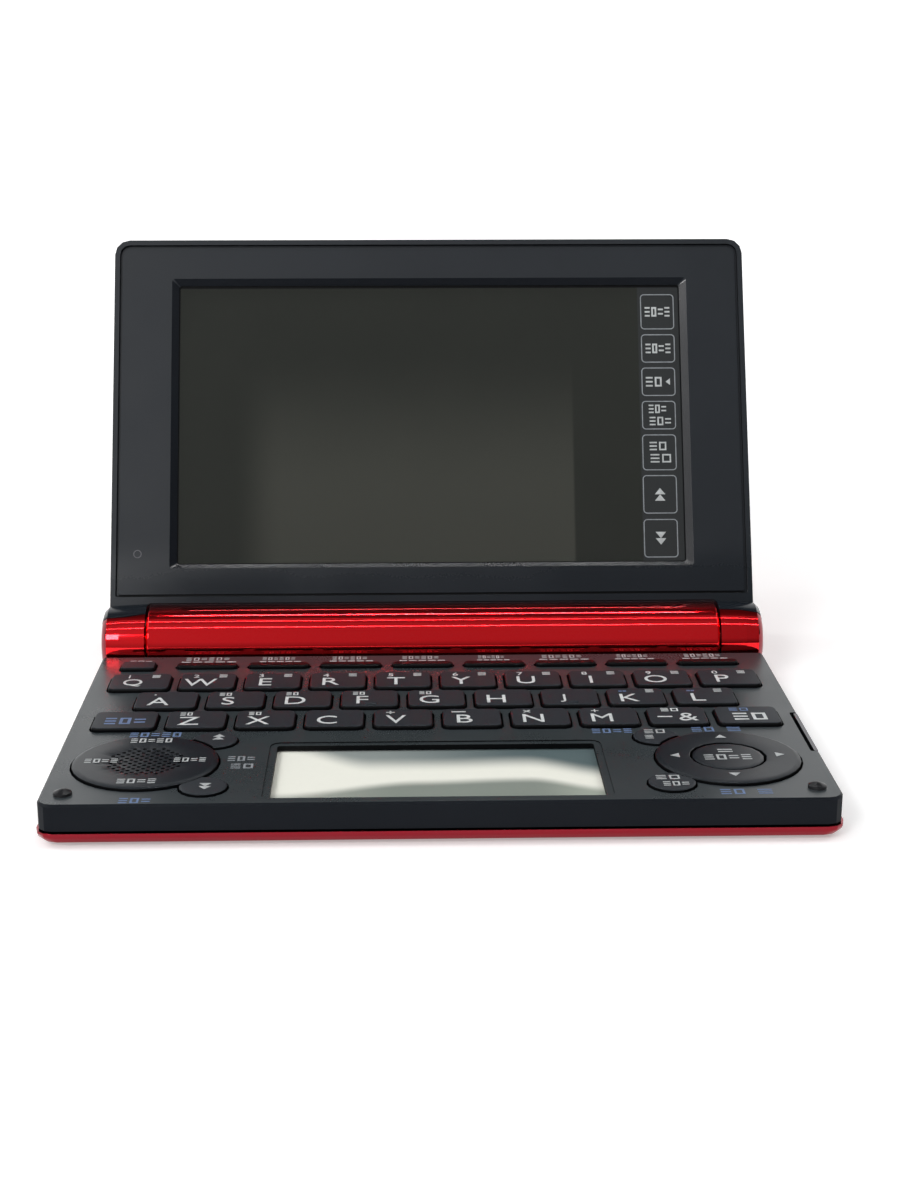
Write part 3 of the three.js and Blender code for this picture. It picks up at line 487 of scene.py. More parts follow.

# %% [markdown]
# Keys, pads, housings and lid go through the same steps, with a width of edge that suits each:
# a fifth of a millimetre on a key that fingers touch, half of that on a housing. The walls of
# keys and pads get a near-black finish, painted shade, so that they are darker than their tops,
# and the walls of the deck get the dark matt wall finish, also painted shade.

# %% Rounded copies of the solids
KEYS = [n for n in frame["nodes"] if n.startswith("key_") and n not in ("key_sheet", "key_enter")]
KEY_EDGE, PAD_EDGE, SHELL_EDGE, CASE_EDGE = 0.22, 0.15, 0.12, 0.1
# The walls of the keys and pads get painted shade.
for key in KEYS:
    cap = bar_plastic if "bar" in key else key_plastic
    refined(key, cap, KEY_EDGE, 3, 40, walls=shade_plastic)
for pad in ("pad_left", "pad_ring", "key_enter"):
    refined(pad, pad_plastic, PAD_EDGE, 2, 35, walls=shade_plastic)
# The deck's walls get the dark matt finish as painted shade.
refined("top_case", deck_plastic, CASE_EDGE, walls=wall_shade_plastic)
refined("bottom_case", tray_and_knuckle_shade_lacquer, CASE_EDGE)
for node in ("battery_barrel", "battery_cover", "lid_cover"):
    refined(node, red_lacquer, SHELL_EDGE)
refined("lid_frame", lid_plastic, SHELL_EDGE)
for node in ("battery_barrel", "battery_cover", "lid_cover", "lid_frame"):
    round_about_hinge(done[node])
stylus = refined("stylus", stylus_plastic, CASE_EDGE)
print("rounded", len(done), "solids")

# %% [markdown]
# The deck is one moulding, painted in three tones. Its top is satin, and its walls are dark as
# painted shade. The wells of the keys get the near-black finish as painted shade, and so do the
# notch at the right edge, where a finger nail reaches the stylus, and the stylus's walls, except
# those that face right. The walls of the notch and the grip of the stylus are moved apart by a
# hair, so that no two faces share one plane and flicker.

# %% Wells, notch and grip
WELL_REACH, WELL_FROM = 73.0 * MM, 1.5 * MM
NOTCH, NOTCH_DEEP, NOTCH_SHIFT = (24.0 * MM, 46.6 * MM), 1.4 * MM, 0.4 * MM
NOTCH_FROM, NOTCH_WALL, NOTCH_EDGE = 71.9 * MM, 1.0 * MM, 0.3 * MM
GRIP_LOW, GRIP_SPLIT, GRIP_SHIFT = 7.1 * MM, 73.0 * MM, 0.2 * MM
FACES_RIGHT = 0.5


def beside_notch(spot):
    return NOTCH[0] < spot.y - FRONT < NOTCH[1]


well_mesh = done["top_case"].data
well_mesh.materials.append(shade_plastic)
# Painted shade: the wells of the keys and the low faces of the notch get the near-black finish.
for face in well_mesh.polygons:
    inside = abs(face.center.x) < WELL_REACH and face.center.y > FRONT + WELL_FROM
    if inside and face.normal.z < WALL_SLOPE:
        face.material_index = 2
    elif beside_notch(face.center) and face.center.x > NOTCH_FROM:
        if face.center.z < DECK_TOP - NOTCH_EDGE:
            face.material_index = 2
for spot in well_mesh.vertices:
    on_wall = beside_notch(spot.co) and NOTCH_FROM < spot.co.x < NOTCH_FROM + NOTCH_WALL
    if on_wall and spot.co.z > DECK_TOP - NOTCH_DEEP:
        spot.co.x -= NOTCH_SHIFT
# Painted shade: the stylus's walls, except those that face right, get the near-black finish.
stylus.data.materials.append(shade_plastic)
for spot in stylus.data.vertices:
    if spot.co.z > GRIP_LOW and spot.co.x < GRIP_SPLIT and beside_notch(spot.co):
        spot.co.x += GRIP_SHIFT
for face in stylus.data.polygons:
    if face.normal.z < WALL_SLOPE and face.normal.x < FACES_RIGHT:
        face.material_index = 1
print("faces in shade", sum(face.material_index == 2 for face in well_mesh.polygons))

# %% [markdown]
# On the lid, a groove runs round the face just inside the rim, and the window has a sloping
# bevel. The groove gets the near-black finish as painted shade. The bevels at the right and the
# bottom face the light: they are polished and painted a little lighter, as painted highlight. The
# other two get the dark matt wall finish as painted shade. The round ends of the knuckles get the
# tray's deeper red as painted shade.

# %% Groove, bevels and knuckle ends
KNUCKLE_END, END_SLOPE, KNUCKLE_REACH = 66.0 * MM, 0.25, 9.5 * MM
WINDOW_HALF, WINDOW_LOW, WINDOW_HIGH = 61.0 * MM, 16.0 * MM, 86.5 * MM
BEVEL_LOW, BEVEL_SLOPE, LIGHT_SIDE = -3.0 * MM, (0.2, 0.9), 0.3
GROOVE_DEPTHS, GROOVE_FLOOR, GROOVE_SLOPE = (-1.5 * MM, -0.6 * MM), -0.8 * MM, 0.7
cover_mesh = done["lid_cover"].data
cover_mesh.materials.append(tray_and_knuckle_shade_lacquer)
# Painted shade: the round ends of the knuckles get the tray's deeper red.
for face in cover_mesh.polygons:
    from_hinge = Vector((0, face.center.y - HINGE.y, face.center.z - HINGE.z)).length
    at_end = abs(face.center.x) > KNUCKLE_END and from_hinge < KNUCKLE_REACH
    if at_end and abs(face.normal.x) > END_SLOPE:
        face.material_index = 1
lid_mesh = done["lid_frame"].data
for finish in (shade_plastic, lit_bevel_plastic, wall_shade_plastic):
    lid_mesh.materials.append(finish)
to_lid = LID_PLACE.inverted()
# Painted highlight and shade: bevels that face the light get the lighter polished finish, the other bevels
# the dark matt finish, and the groove the near-black one.
for face in lid_mesh.polygons:
    spot, facing = to_lid @ face.center, to_lid.to_3x3() @ face.normal
    in_window = abs(spot.x) < WINDOW_HALF and WINDOW_LOW < spot.y < WINDOW_HIGH
    in_groove = not in_window and GROOVE_DEPTHS[0] < spot.z < GROOVE_DEPTHS[1]
    if in_window and spot.z > BEVEL_LOW and BEVEL_SLOPE[0] < facing.z < BEVEL_SLOPE[1]:
        faces_light = facing.y > LIGHT_SIDE or facing.x < -LIGHT_SIDE
        face.material_index = 2 if faces_light else 3
    elif in_groove and (facing.z < GROOVE_SLOPE or spot.z < GROOVE_FLOOR):
        face.material_index = 1
print("polished bevels", sum(face.material_index == 2 for face in lid_mesh.polygons))

# %% [markdown]
# The two displays are sheets of glass over a reflector, so they get finishes of their own. The
# large one is a switched-off liquid crystal cell: dark grey-green, slightly mottled, and glossy,
# with a lighter area painted over its lower part as a reflection. The small one is painted as a
# silvery reflection: its tone drifts across it, and a bright band runs slantwise over it in
# soft streaks.

# %% Displays
REFLECTION_TOP, REFLECTION_LOW = HINGE.z + 62 * MM, HINGE.z + 30 * MM
REFLECTION_LEFT, REFLECTION_RIGHT = (-46 * MM, -34 * MM), (33.4 * MM, 32.6 * MM)
STRIP_LEFT = (48.6 * MM, 48.8 * MM)


def crystal_display():
    """A dark cell with a lighter area, a painted reflection, that fades in upwards and at the left, and a
    plain strip.
    """
    finish = Finish("large_display")
    x, _, z = finish.axes()
    lower = finish.ramp(z, REFLECTION_TOP, REFLECTION_LOW)
    # Painted reflection: a lighter area over the lower part of the cell.
    painted_reflection = lower * finish.ramp(x, *REFLECTION_LEFT) * finish.ramp(x, *REFLECTION_RIGHT)
    mottle = finish.noise(60.0, 3.0)
    tone = finish.mix(painted_reflection * 0.8 + mottle * 0.1, rgb(41, 43, 40), rgb(66, 67, 62))
    strip = finish.ramp(x, *STRIP_LEFT)
    tone = finish.mix(strip, tone, rgb(50, 52, 53))
    return finish.surface(tone, mottle * 0.03 + 0.05, gloss=0.15)


def memo_display():
    """Painted reflection: a bright band runs slantwise over a silvery ground whose tone drifts across it.
    Across and deep are shares of its width and depth.
    """
    finish = Finish("memo_display")
    x, y, _ = finish.axes()
    across = (x - MEMO_LEFT * MM) / (MEMO_WIDTH * MM)
    deep = (y - FRONT - MEMO_FRONT * MM) / (MEMO_DEPTH * MM)
    sway = (finish.noise(9.0, 1.0) - 0.5) * 0.04
    drop = finish.ramp(across, 0.78, 1.03)
    foot = finish.ramp(across, 0.0, 0.45) * 0.23 + finish.ramp(across, 0.45, 0.75) * 0.04 + sway + 0.14
    head = finish.ramp(across, 0.30, 0.0) * 0.4 + finish.ramp(across, 0.5, 0.75) * 0.03 + sway + 0.66
    lower_edge = finish.ramp(deep - foot + drop * 0.2, -0.08, 0.08)
    upper_edge = finish.ramp(deep - head + drop * 0.22, 0.22, -0.1)
    # Painted reflection: the bright band, laid over a ground whose tone drifts across it.
    band = lower_edge * upper_edge
    below = finish.mix(finish.ramp(across, 0.0, 0.4), rgb(176, 180, 170), rgb(142, 150, 142))
    below = finish.mix(finish.ramp(across, 0.78, 1.0), below, rgb(172, 180, 168))
    upper = finish.mix(finish.ramp(across, 0.2, 0.85), rgb(150, 158, 156), rgb(92, 108, 111))
    ground = finish.mix(finish.ramp(deep, 0.35, 0.6), below, upper)
    tone = finish.mix(band * 0.99, ground, rgb(255, 255, 244))
    fine = finish.noise(900.0, 2.0)
    return finish.surface(finish.mix(fine * 0.05, tone, rgb(170, 175, 170)), 0.2, gloss=0.25)


MEMO_LEFT, MEMO_WIDTH, MEMO_FRONT, MEMO_DEPTH = -31.5, 61.8, 3.2, 26.9
refined("display_panel", crystal_display(), CASE_EDGE)
refined("sub_display", memo_display(), CASE_EDGE)
print("memo display", MEMO_WIDTH, "x", MEMO_DEPTH, "mm")

# %% [markdown]
# What the housings hide still shows when a part is taken out of the library and opened. The
# board gets solder resist over its copper tracks, the key sheet is one piece of silicone, the
# cells wear printed sleeves, and the steel pieces keep the marks of the lathe and the press. The
# dome under the round key is a hair lower than in the solid, so that the key, pressed to its
# stop, does not cut into it.

# %% Inner finishes
ENTER_AT, DOME_REACH = (55.2 * MM, 20.3 * MM), 3.0 * MM
DOME_FROM, DOME_SINK = 5.1 * MM, 0.08 * MM


def circuit_board():
    finish = Finish("circuit_board")
    bricks = {"Vector": finish.place, "Scale": 420.0, "Mortar Size": 0.06, "Bias": -0.2}
    tracks = finish.node("ShaderNodeTexBrick", bricks, out="Fac", offset=0.5, squash=1.0)
    copper = tracks * finish.ramp(finish.noise(70.0), 0.45, 0.55)
    tone = finish.mix(copper, rgb(18, 78, 44), rgb(52, 122, 70))
    return finish.surface(tone, 0.32, normal=finish.bump(copper, 0.03 * MM))


def silicone():
    finish = Finish("silicone_sheet")
    dust = finish.ramp(finish.noise(300.0, 4.0), 0.5, 0.8)
    tone = finish.mix(dust, rgb(128, 130, 131), rgb(150, 152, 152))
    return finish.surface(tone, 0.62 + dust * 0.1, gloss=0.3, normal=finish.bump(dust, 0.01 * MM))


def cell_sleeve():
    finish = Finish("cell_sleeve")
    band = finish.ramp(abs(finish.axes()[0]), 44.0 * MM, 44.3 * MM)
    waves = {"Vector": finish.place, "Scale": 260.0, "Distortion": 1.5}
    shrink = finish.node("ShaderNodeTexWave", waves, out="Fac", bands_direction="X")
    tone = finish.mix(band, rgb(196, 198, 202), rgb(52, 96, 150))
    return finish.surface(tone, 0.3 + shrink * 0.05, metallic=0.35, normal=finish.bump(shrink, 0.01 * MM))


def worked_steel(name, direction, scale):
    finish = Finish(name)
    waves = {"Vector": finish.place, "Scale": scale, "Distortion": 0.6, "Detail": 2.0}
    lines = finish.node("ShaderNodeTexWave", waves, out="Fac", bands_direction=direction)
    tone = finish.mix(lines, rgb(176, 177, 180), rgb(205, 206, 208))
    return finish.surface(tone, 0.28 + lines * 0.08, metallic=1.0, normal=finish.bump(lines, 0.004 * MM))


refined("main_board", circuit_board(), 0)
refined("key_sheet", silicone(), 0.1, 1)
for spot in done["key_sheet"].data.vertices:
    beside = Vector((spot.co.x - ENTER_AT[0], spot.co.y - FRONT - ENTER_AT[1])).length
    if beside < DOME_REACH and spot.co.z > DOME_FROM:
        spot.co.z -= DOME_SINK
refined("battery_left", cell_sleeve(), 0.2, 3)
refined("battery_right", bpy.data.materials["cell_sleeve"], 0.2, 3)
refined("speaker", worked_steel("pressed_steel", "Z", 900.0), 0.15, 2)
refined("hinge_pin", worked_steel("turned_steel", "X", 1500.0), 0.1, 2)
print("all solids dressed", len(done) == len(frame["nodes"]))

# %% [markdown]
# Print on plastic is a film of ink some hundredths of a millimetre thick. Here it is modelled
# as such: each sign is a closed plate just proud of the surface, so it catches light as ink
# does. The keys carry plain letters, digits and signs of arithmetic. Words are left out, and a
# row of short plain bars keeps their place and weight.

# %% Ink and how signs are made
def ink(name, colour):
    finish = Finish(name)
    patchy = finish.ramp(finish.noise(900.0, 3.0), 0.3, 0.75)
    darker = tuple(channel * 0.78 for channel in colour[:3]) + (1,)
    return finish.surface(finish.mix(patchy, darker, colour), 0.5 + patchy * 0.08, gloss=0.3)


WHITE_INK = ink("white_ink", rgb(222, 226, 226))
GREY_INK = ink("grey_ink", rgb(146, 151, 156))
SOFT_INK = ink("soft_white_ink", rgb(190, 194, 195))
BLUE_INK = ink("blue_ink", rgb(110, 132, 172))
INK_DEPTH, STROKE_SHARE = 0.03, 0.17


def as_mesh(item):
    active(item)
    bpy.ops.object.convert(target="MESH")
    bpy.ops.object.mode_set(mode="EDIT")
    bpy.ops.mesh.select_all(action="SELECT")
    bpy.ops.mesh.remove_doubles(threshold=WELD / 10)
    bpy.ops.mesh.normals_make_consistent(inside=False)
    bpy.ops.object.mode_set(mode="OBJECT")
    return item


def plate(outlines, low=0.0, high=INK_DEPTH):
    """A flat plate between two heights, from closed outlines in millimetres; inner ones are holes."""
    data = bpy.data.curves.new("plate", "CURVE")
    data.dimensions, data.fill_mode = "2D", "BOTH"
    data.extrude = (high - low) / 2 * MM
    for outline in outlines:
        spline = data.splines.new("POLY")
        spline.points.add(len(outline) - 1)
        for point, (x, y) in zip(spline.points, outline):
            point.co = (x * MM, y * MM, 0, 1)
        spline.use_cyclic_u = True
    item = bpy.data.objects.new("plate", data)
    bpy.context.scene.collection.objects.link(item)
    as_mesh(item).data.transform(Matrix.Translation((0, 0, (low + high) / 2 * MM)))
    return item


def sign(text, x, y, height, width=None):
    """One printed sign, centred at x, y. Its height is its ink's own height."""
    bpy.ops.object.select_all(action="DESELECT")
    bpy.ops.object.text_add(location=(0, 0, 0))
    item = bpy.context.object
    item.data.body, item.data.resolution_u, item.data.extrude = text, 4, 0.5
    as_mesh(item)
    spots = [v.co for v in item.data.vertices]
    lows = [min(c[i] for c in spots) for i in range(3)]
    highs = [max(c[i] for c in spots) for i in range(3)]
    tall = highs[1] - lows[1]
    scale_y = height * MM / tall
    scale_x = width * MM / (highs[0] - lows[0]) if width else scale_y
    centre = [(a + b) / 2 for a, b in zip(lows, highs)]
    grow = Matrix.Diagonal((scale_x, scale_y, INK_DEPTH * MM, 1))
    item.data.transform(Matrix.Translation((x * MM, y * MM, INK_DEPTH / 2 * MM))
                        @ grow @ Matrix.Translation([-c for c in centre]))
    return item


def box_outline(x, y, width, height):
    return [(x - width / 2, y - height / 2), (x + width / 2, y - height / 2),
            (x + width / 2, y + height / 2), (x - width / 2, y + height / 2)]


def word(x, y, width, height, count, gap_share=0.24, stroke=STROKE_SHARE):
    """A row of small plain marks, bars and empty boxes by turns, that fills the place of a word."""
    pitch = width / count
    wide, thin = pitch * (1 - gap_share), height * stroke
    outlines = []
    for i in range(count):
        middle = x - width / 2 + pitch * (i + 0.5)
        level = (height - thin) / 2
        rows = ((-level, 0, level), (-level, level), (-level * 0.5, level * 0.6))[i % 3]
        outlines += [box_outline(middle, y + row, wide, thin) for row in rows]
        if i % 3 == 1:
            side = (wide - thin) / 2
            outlines += [box_outline(middle + k * side, y, thin, height - 2 * thin) for k in (-1, 1)]
    return plate(outlines)


def bars(x, y, width, height, count, gap_share=0.22):
    """A row of short plain bars, for lines of words too small to read."""
    pitch = width / count
    start = x - width / 2 + pitch / 2
    return plate([box_outline(start + i * pitch, y, pitch * (1 - gap_share), height) for i in range(count)])


def triangle(x, y, width, height):
    """A small triangle that points up, or down if the height is negative."""
    corners = [(x - width / 2, y - height / 2), (x + width / 2, y - height / 2), (x, y + height / 2)]
    return plate([corners])


def side_triangle(x, y, width, height):
    """A small triangle that points right, or left if the width is negative."""
    corners = [(x - width / 2, y - height / 2), (x + width / 2, y), (x - width / 2, y + height / 2)]
    return plate([corners])


def printed(name, parts, body, finish, place):
    """Joins signs into one piece, puts it in its place and lets it ride."""
    active(*parts)
    if len(parts) > 1:
        bpy.ops.object.join()
    item = bpy.context.object
    item.name = item.data.name = name
    item.data.transform(place)
    item.data.materials.clear()
    item.data.materials.append(finish)
    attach(item, body)
    return item


print("ink depth", INK_DEPTH, "mm")

# %% [markdown]
# The letter keys are printed alike: the letter left of the middle and a little low, a small
# sign above its left shoulder and a short mark at the far corner. Each print is laid out once
# round the middle of a key and then moved to its own key, which carries it when it is pressed.

# %% Legends of the letter keys
KEY_TOP = 0.8
LETTER_HEIGHT, SIGN_HEIGHT, MARK_HEIGHT = 4.6, 1.9, 1.7
LETTER_AT, SIGN_AT, MARK_AT = (-1.5, -1.1), (-2.6, 3.0), (3.1, 3.1)
NUMBER_KEYS = dict(zip("qwertyuiop", "1234567890"))
SIGN_KEYS = {"a": "\u00b7", "v": "\u00f7", "b": "\u2212", "n": "\u00d7", "m": "+"}
BAR_KEYS = ("s", "d", "f", "g", "z", "x")
SMALL_BLUE_KEYS = ("k", "l")
MARKED_KEYS = "qwertyuiopkl"


def key_middle(name):
    """The middle of a key's cap in millimetres from the deck's front edge."""
    low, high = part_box(name)
    return (low.x + high.x) / 2 / MM, ((low.y + high.y) / 2 - FRONT) / MM


def at_key(name):
    x, y = key_middle(name)
    return DECK_PLACE @ Matrix.Translation((x * MM, y * MM, KEY_TOP * MM))


def on_key(name, parts, key, finish):
    return printed(name, parts, key, finish, at_key(key))


def key_legend(letter):
    parts = [sign(letter.upper(), *LETTER_AT, LETTER_HEIGHT)]
    if letter in NUMBER_KEYS:
        parts.append(sign(NUMBER_KEYS[letter], *SIGN_AT, SIGN_HEIGHT))
    if letter in SIGN_KEYS:
        flat = letter in "ab"
        parts.append(sign(SIGN_KEYS[letter], *SIGN_AT, 0.5 if flat else SIGN_HEIGHT * 0.8))
    if letter in BAR_KEYS:
        parts.append(word(SIGN_AT[0] + 0.3, SIGN_AT[1], 2.8, MARK_HEIGHT, 2))
    if letter in MARKED_KEYS:
        parts.append(word(*MARK_AT, 2.2, MARK_HEIGHT, 1))
    return on_key("legend_" + letter, parts, "key_" + letter, WHITE_INK)


letters = [k[4:] for k in KEYS if len(k) == len("key_a")]
for letter in letters:
    key_legend(letter)
for letter in SMALL_BLUE_KEYS:
    on_key("blue_mark_" + letter, [bars(*SIGN_AT, 1.8, 0.6, 2)], "key_" + letter, BLUE_INK)
symbol_parts = [sign("\u2212", -2.6, -0.9, 0.55, 3.0), sign("&", 2.1, -1.1, 4.4)]
symbol_parts.append(word(-1.2, 3.2, 4.0, 1.8, 2))
on_key("legend_symbol", symbol_parts, "key_symbol", WHITE_INK)
on_key("legend_shift", [word(0.1, -0.8, 8.8, 3.6, 3)], "key_shift", BLUE_INK)
on_key("legend_delete", [word(0.3, -1.1, 7.6, 4.0, 2)], "key_delete", WHITE_INK)
on_key("blue_mark_delete", [word(-1.4, 3.1, 4.4, 1.7, 2)], "key_delete", BLUE_INK)
print("legends", len(letters))

# %% [markdown]
# Two keys carry a raised bar near the front edge, so that the index fingers find their places
# without a look. On a real key it is moulded with the cap, so the finish is the cap's own.

# %% Homing bars
HOMING_RADIUS, HOMING_LONG, HOMING_ROUND, HOMING_FLAT = 0.45, 2.6, 0.3, 0.6
HOMING_AT = (0.3 * MM, -3.6 * MM, 0)


def homing_bar(key):
    item = rounded_cylinder(24, HOMING_RADIUS, HOMING_LONG, HOMING_ROUND, 4, turn=(0, pi / 2, 0))
    item.data.transform(Matrix.Diagonal((1, 1, HOMING_FLAT, 1)))
    item.data.transform(at_key(key) @ Matrix.Translation(HOMING_AT))
    bpy.ops.object.shade_smooth_by_angle(angle=SMOOTH_ANGLE)
    item.name = item.data.name = "homing_bar_" + key[-1]
    item.data.materials.append(key_plastic)
    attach(item, key)
    return item


homing_bars = [homing_bar(key) for key in ("key_f", "key_j")]
print("homing bars", [o.name for o in homing_bars])

# %% [markdown]
# The tucked keys and the two round pads have their own signs: double arrowheads for paging,
# four arrowheads on the ring, rows of bars for the words.

# %% Signs on the pads and the tucked keys
TUCK_TOP, PAD_TOP, PAD_FLOOR, ENTER_TOP = 0.6, 0.8, 0.5, 0.75
PAD_LEFT, PAD_Y = -56.0, 20.3


def on_deck(rise):
    return DECK_PLACE @ Matrix.Translation((0, 0, rise * MM))


def double_head(x, y, width, height):
    return [triangle(x, y + abs(height) * shift, width, height) for shift in (-0.5, 0.5)]


def soft_signs(name, parts, body, rise):
    return printed(name, parts, body, SOFT_INK, on_deck(rise))


soft_signs("page_up_heads", double_head(-43.2, 33.3, 2.3, 1.5), "key_page_up", TUCK_TOP)
soft_signs("page_down_heads", double_head(-43.5, 7.2, 2.3, -1.5), "key_page_down", TUCK_TOP)
voice_words = [word(42.8, 34.3, 4.6, 2.0, 2), word(41.4, 31.2, 2.2, 1.8, 1)]
soft_signs("voice_marks", voice_words, "key_voice", TUCK_TOP)
back_words = [word(42.2, 9.6, 5.0, 2.0, 2), word(43.4, 6.4, 5.2, 2.0, 3)]
soft_signs("back_marks", back_words, "key_back", TUCK_TOP)
enter_words = [bars(55.0, y, 2.8, 0.45, 1, gap_share=0.0) for y in (22.3, 23.4)]
enter_words.append(word(55.0, 19.4, 9.6, 2.6, 4))
soft_signs("enter_marks", enter_words, "key_enter", ENTER_TOP)
ring_heads = [triangle(55.3, 30.6, 2.2, 1.7), triangle(54.9, 10.2, 2.2, -1.7)]
ring_heads += [side_triangle(45.0, 20.4, -1.7, 2.2), side_triangle(65.2, 20.4, 1.7, 2.2)]
soft_signs("ring_heads", ring_heads, "pad_ring", PAD_TOP)
print("signs on", "page_up page_down voice back enter ring".split())

# %% [markdown]
# The rest of the print is on the deck itself, above the long keys and round the pads.

# %% Labels on the deck
BAR_LABEL_Y, BAR_LABEL_LOW = 84.6, 82.5
BAR_LABEL_WIDTHS = (12.5, 9.5, 10.0, 10.5, 7.5, 11.5, 9.0, 10.5)
BLUE_WORDS = ((-56.0, 36.4, 10.6, 2.4, 5), (-55.8, 2.0, 6.2, 2.4, 3), (34.6, 36.4, 8.4, 2.4, 4),
              (52.8, 36.8, 5.0, 2.4, 2), (53.4, 3.6, 5.0, 2.4, 2), (59.0, 36.8, 3.4, 2.2, 1),
              (59.4, 3.6, 3.4, 2.2, 1))
GREY_WORDS = ((-38.0, 22.8, 5.6, 2.4, 3), (-37.6, 18.8, 4.8, 2.4, 2))
bar_labels = []
for index, key in enumerate(sorted(k for k in KEYS if k.startswith("key_bar_"))):
    x, wide = key_middle(key)[0], BAR_LABEL_WIDTHS[index]
    bar_labels.append(word(x - 0.4, BAR_LABEL_Y, wide * 0.8, 1.9, 6, gap_share=0.3, stroke=0.14))
    bar_labels.append(bars(x, BAR_LABEL_LOW, wide, 0.5, 5))
power_x = key_middle("key_power")[0]
bar_labels.append(word(power_x, 82.9, 5.2, 1.7, 3))
blue_labels = [word(*place) for place in BLUE_WORDS]
grey_labels = [word(*place) for place in GREY_WORDS]
printed("bar_labels", bar_labels, "base", SOFT_INK, DECK_PLACE)
printed("blue_labels", blue_labels, "base", BLUE_INK, DECK_PLACE)
printed("grey_labels", grey_labels, "base", GREY_INK, DECK_PLACE)
print("labels over", len(bar_labels) // 2, "long keys")

# %% [markdown]
# The left pad is pierced by a diamond of small holes for the speaker below it. They are cut
# into the pad's copy, so they are real holes with depth, and their walls get the near-black
# finish as painted shade.

# %% Speaker holes
HOLE_RADIUS, HOLE_PITCH, HOLE_DEPTH, HOLE_REACH, HOLE_SIDES = 0.42, 1.86, 0.6, 7.2, 10
hole_spots = []
steps = int(HOLE_REACH / HOLE_PITCH) + 1
for i in range(-2 * steps, 2 * steps + 1):
    for j in range(-steps, steps + 1):
        spot = (i * HOLE_PITCH / 2, j * HOLE_PITCH + (i % 2) * HOLE_PITCH / 2)
        if (spot[0] ** 2 + spot[1] ** 2) ** 0.5 <= HOLE_REACH:
            hole_spots.append(spot)


def circle_outline(x, y, radius, sides):
    angles = [2 * pi * k / sides for k in range(sides)]
    return [(x + radius * cos(angle), y + radius * sin(angle)) for angle in angles]


hole_outlines = [circle_outline(PAD_LEFT + x, PAD_Y + y, HOLE_RADIUS, HOLE_SIDES)
                 for x, y in hole_spots]
drill = plate(hole_outlines, PAD_FLOOR - HOLE_DEPTH, PAD_TOP + HOLE_DEPTH)
drill.data.transform(DECK_PLACE)
pad = done["pad_left"]
cut_with(pad, drill)
shade(pad)
# Painted shade: the walls of the holes get the near-black finish.
for face in pad.data.polygons:
    if face.normal.z < WALL_SLOPE:
        face.material_index = 1
print("speaker holes", len(hole_spots), "triangles in the pad", len(pad.data.polygons))

# %% [markdown]
# Each edge of the left pad is a key of its own and has a word, one at each quarter of the round
# face. As elsewhere, bars keep its place. They ride on the pad and rock with it.

# %% Words round the speaker holes
PAD_WORDS = ((-56.1, 31.0, 8.4, 2.2, 5), (-56.4, 9.6, 7.6, 2.2, 4), (-64.4, 20.2, 6.6, 2.0, 4),
             (-47.6, 20.4, 6.4, 2.0, 4))
soft_signs("pad_words", [word(*place) for place in PAD_WORDS], "pad_left", PAD_TOP)
print("words on the pad", len(PAD_WORDS))

# %% [markdown]
# The glass of the large display meets its frame in a thin dark line, which is painted shade: a
# flat ring in the near-black finish that lies on the glass along the foot of the bevel, a little
# wider at the top, where it stands for the shade under the frame's upper edge.

# %% Painted shade round the large display
GLASS_FRONT, PANEL_FACE = -2.05, -0.7
SHADE_RING_HALF, SHADE_RING_LOW, SHADE_RING_HIGH = 58.5, 18.0, 83.9
SHADE_RING_SIDE, SHADE_RING_TOP, SHADE_RING_CORNERS = 0.25, 0.55, (0.6, 0.3)
CORNER_STEPS = 6


def on_lid(rise):
    return LID_PLACE @ Matrix.Translation((0, 0, rise * MM))


def rounded_outline(x, y, width, height, corner):
    points = []
    for turn, (side_x, side_y) in enumerate(((1, 1), (-1, 1), (-1, -1), (1, -1))):
        for i in range(CORNER_STEPS + 1):
            angle = (turn + i / CORNER_STEPS) * pi / 2
            points.append((x + side_x * (width / 2 - corner) + corner * cos(angle),
                           y + side_y * (height / 2 - corner) + corner * sin(angle)))
    return points


shade_ring_middle, shade_ring_tall = (SHADE_RING_LOW + SHADE_RING_HIGH) / 2, SHADE_RING_HIGH - SHADE_RING_LOW
shade_ring_outer = rounded_outline(0, shade_ring_middle, 2 * SHADE_RING_HALF, shade_ring_tall, SHADE_RING_CORNERS[0])
shade_ring_inner = rounded_outline(0, shade_ring_middle - SHADE_RING_TOP / 2 + SHADE_RING_SIDE / 2, 2 * (SHADE_RING_HALF - SHADE_RING_SIDE),
                             shade_ring_tall - SHADE_RING_TOP - SHADE_RING_SIDE, SHADE_RING_CORNERS[1])
# Painted shade: a flat dark ring on the glass round the window's edge.
printed("display_shade_ring", [plate([shade_ring_outer, shade_ring_inner])], "lid", shade_plastic,
        on_lid(GLASS_FRONT))
print("seal", 2 * SHADE_RING_HALF, "x", round(shade_ring_tall, 1), "mm")

# %% [markdown]
# Beside the large display runs a strip of seven touch fields. Each is a thin rounded frame
# printed behind the glass, with bars for its word; the lowest two carry double arrowheads. A
# small ring near the lid's lower left corner marks the place of a sensor.

# %% Touch fields beside the display
FIELD_WIDTH, FIELD_LINE, FIELD_CORNER = 7.9, 0.22, 0.9
FIELDS = ((53.3, 73.2, 81.7), (53.3, 65.2, 72.0), (53.2, 57.2, 64.0), (53.1, 49.2, 56.0),
          (53.0, 39.5, 48.0), (52.9, 29.3, 38.35), (52.85, 19.0, 28.0))
ROUND_MARK_AT, ROUND_MARK_RADII, ROUND_MARK_SIDES = (-67.4, 20.35), (0.95, 0.75), 32


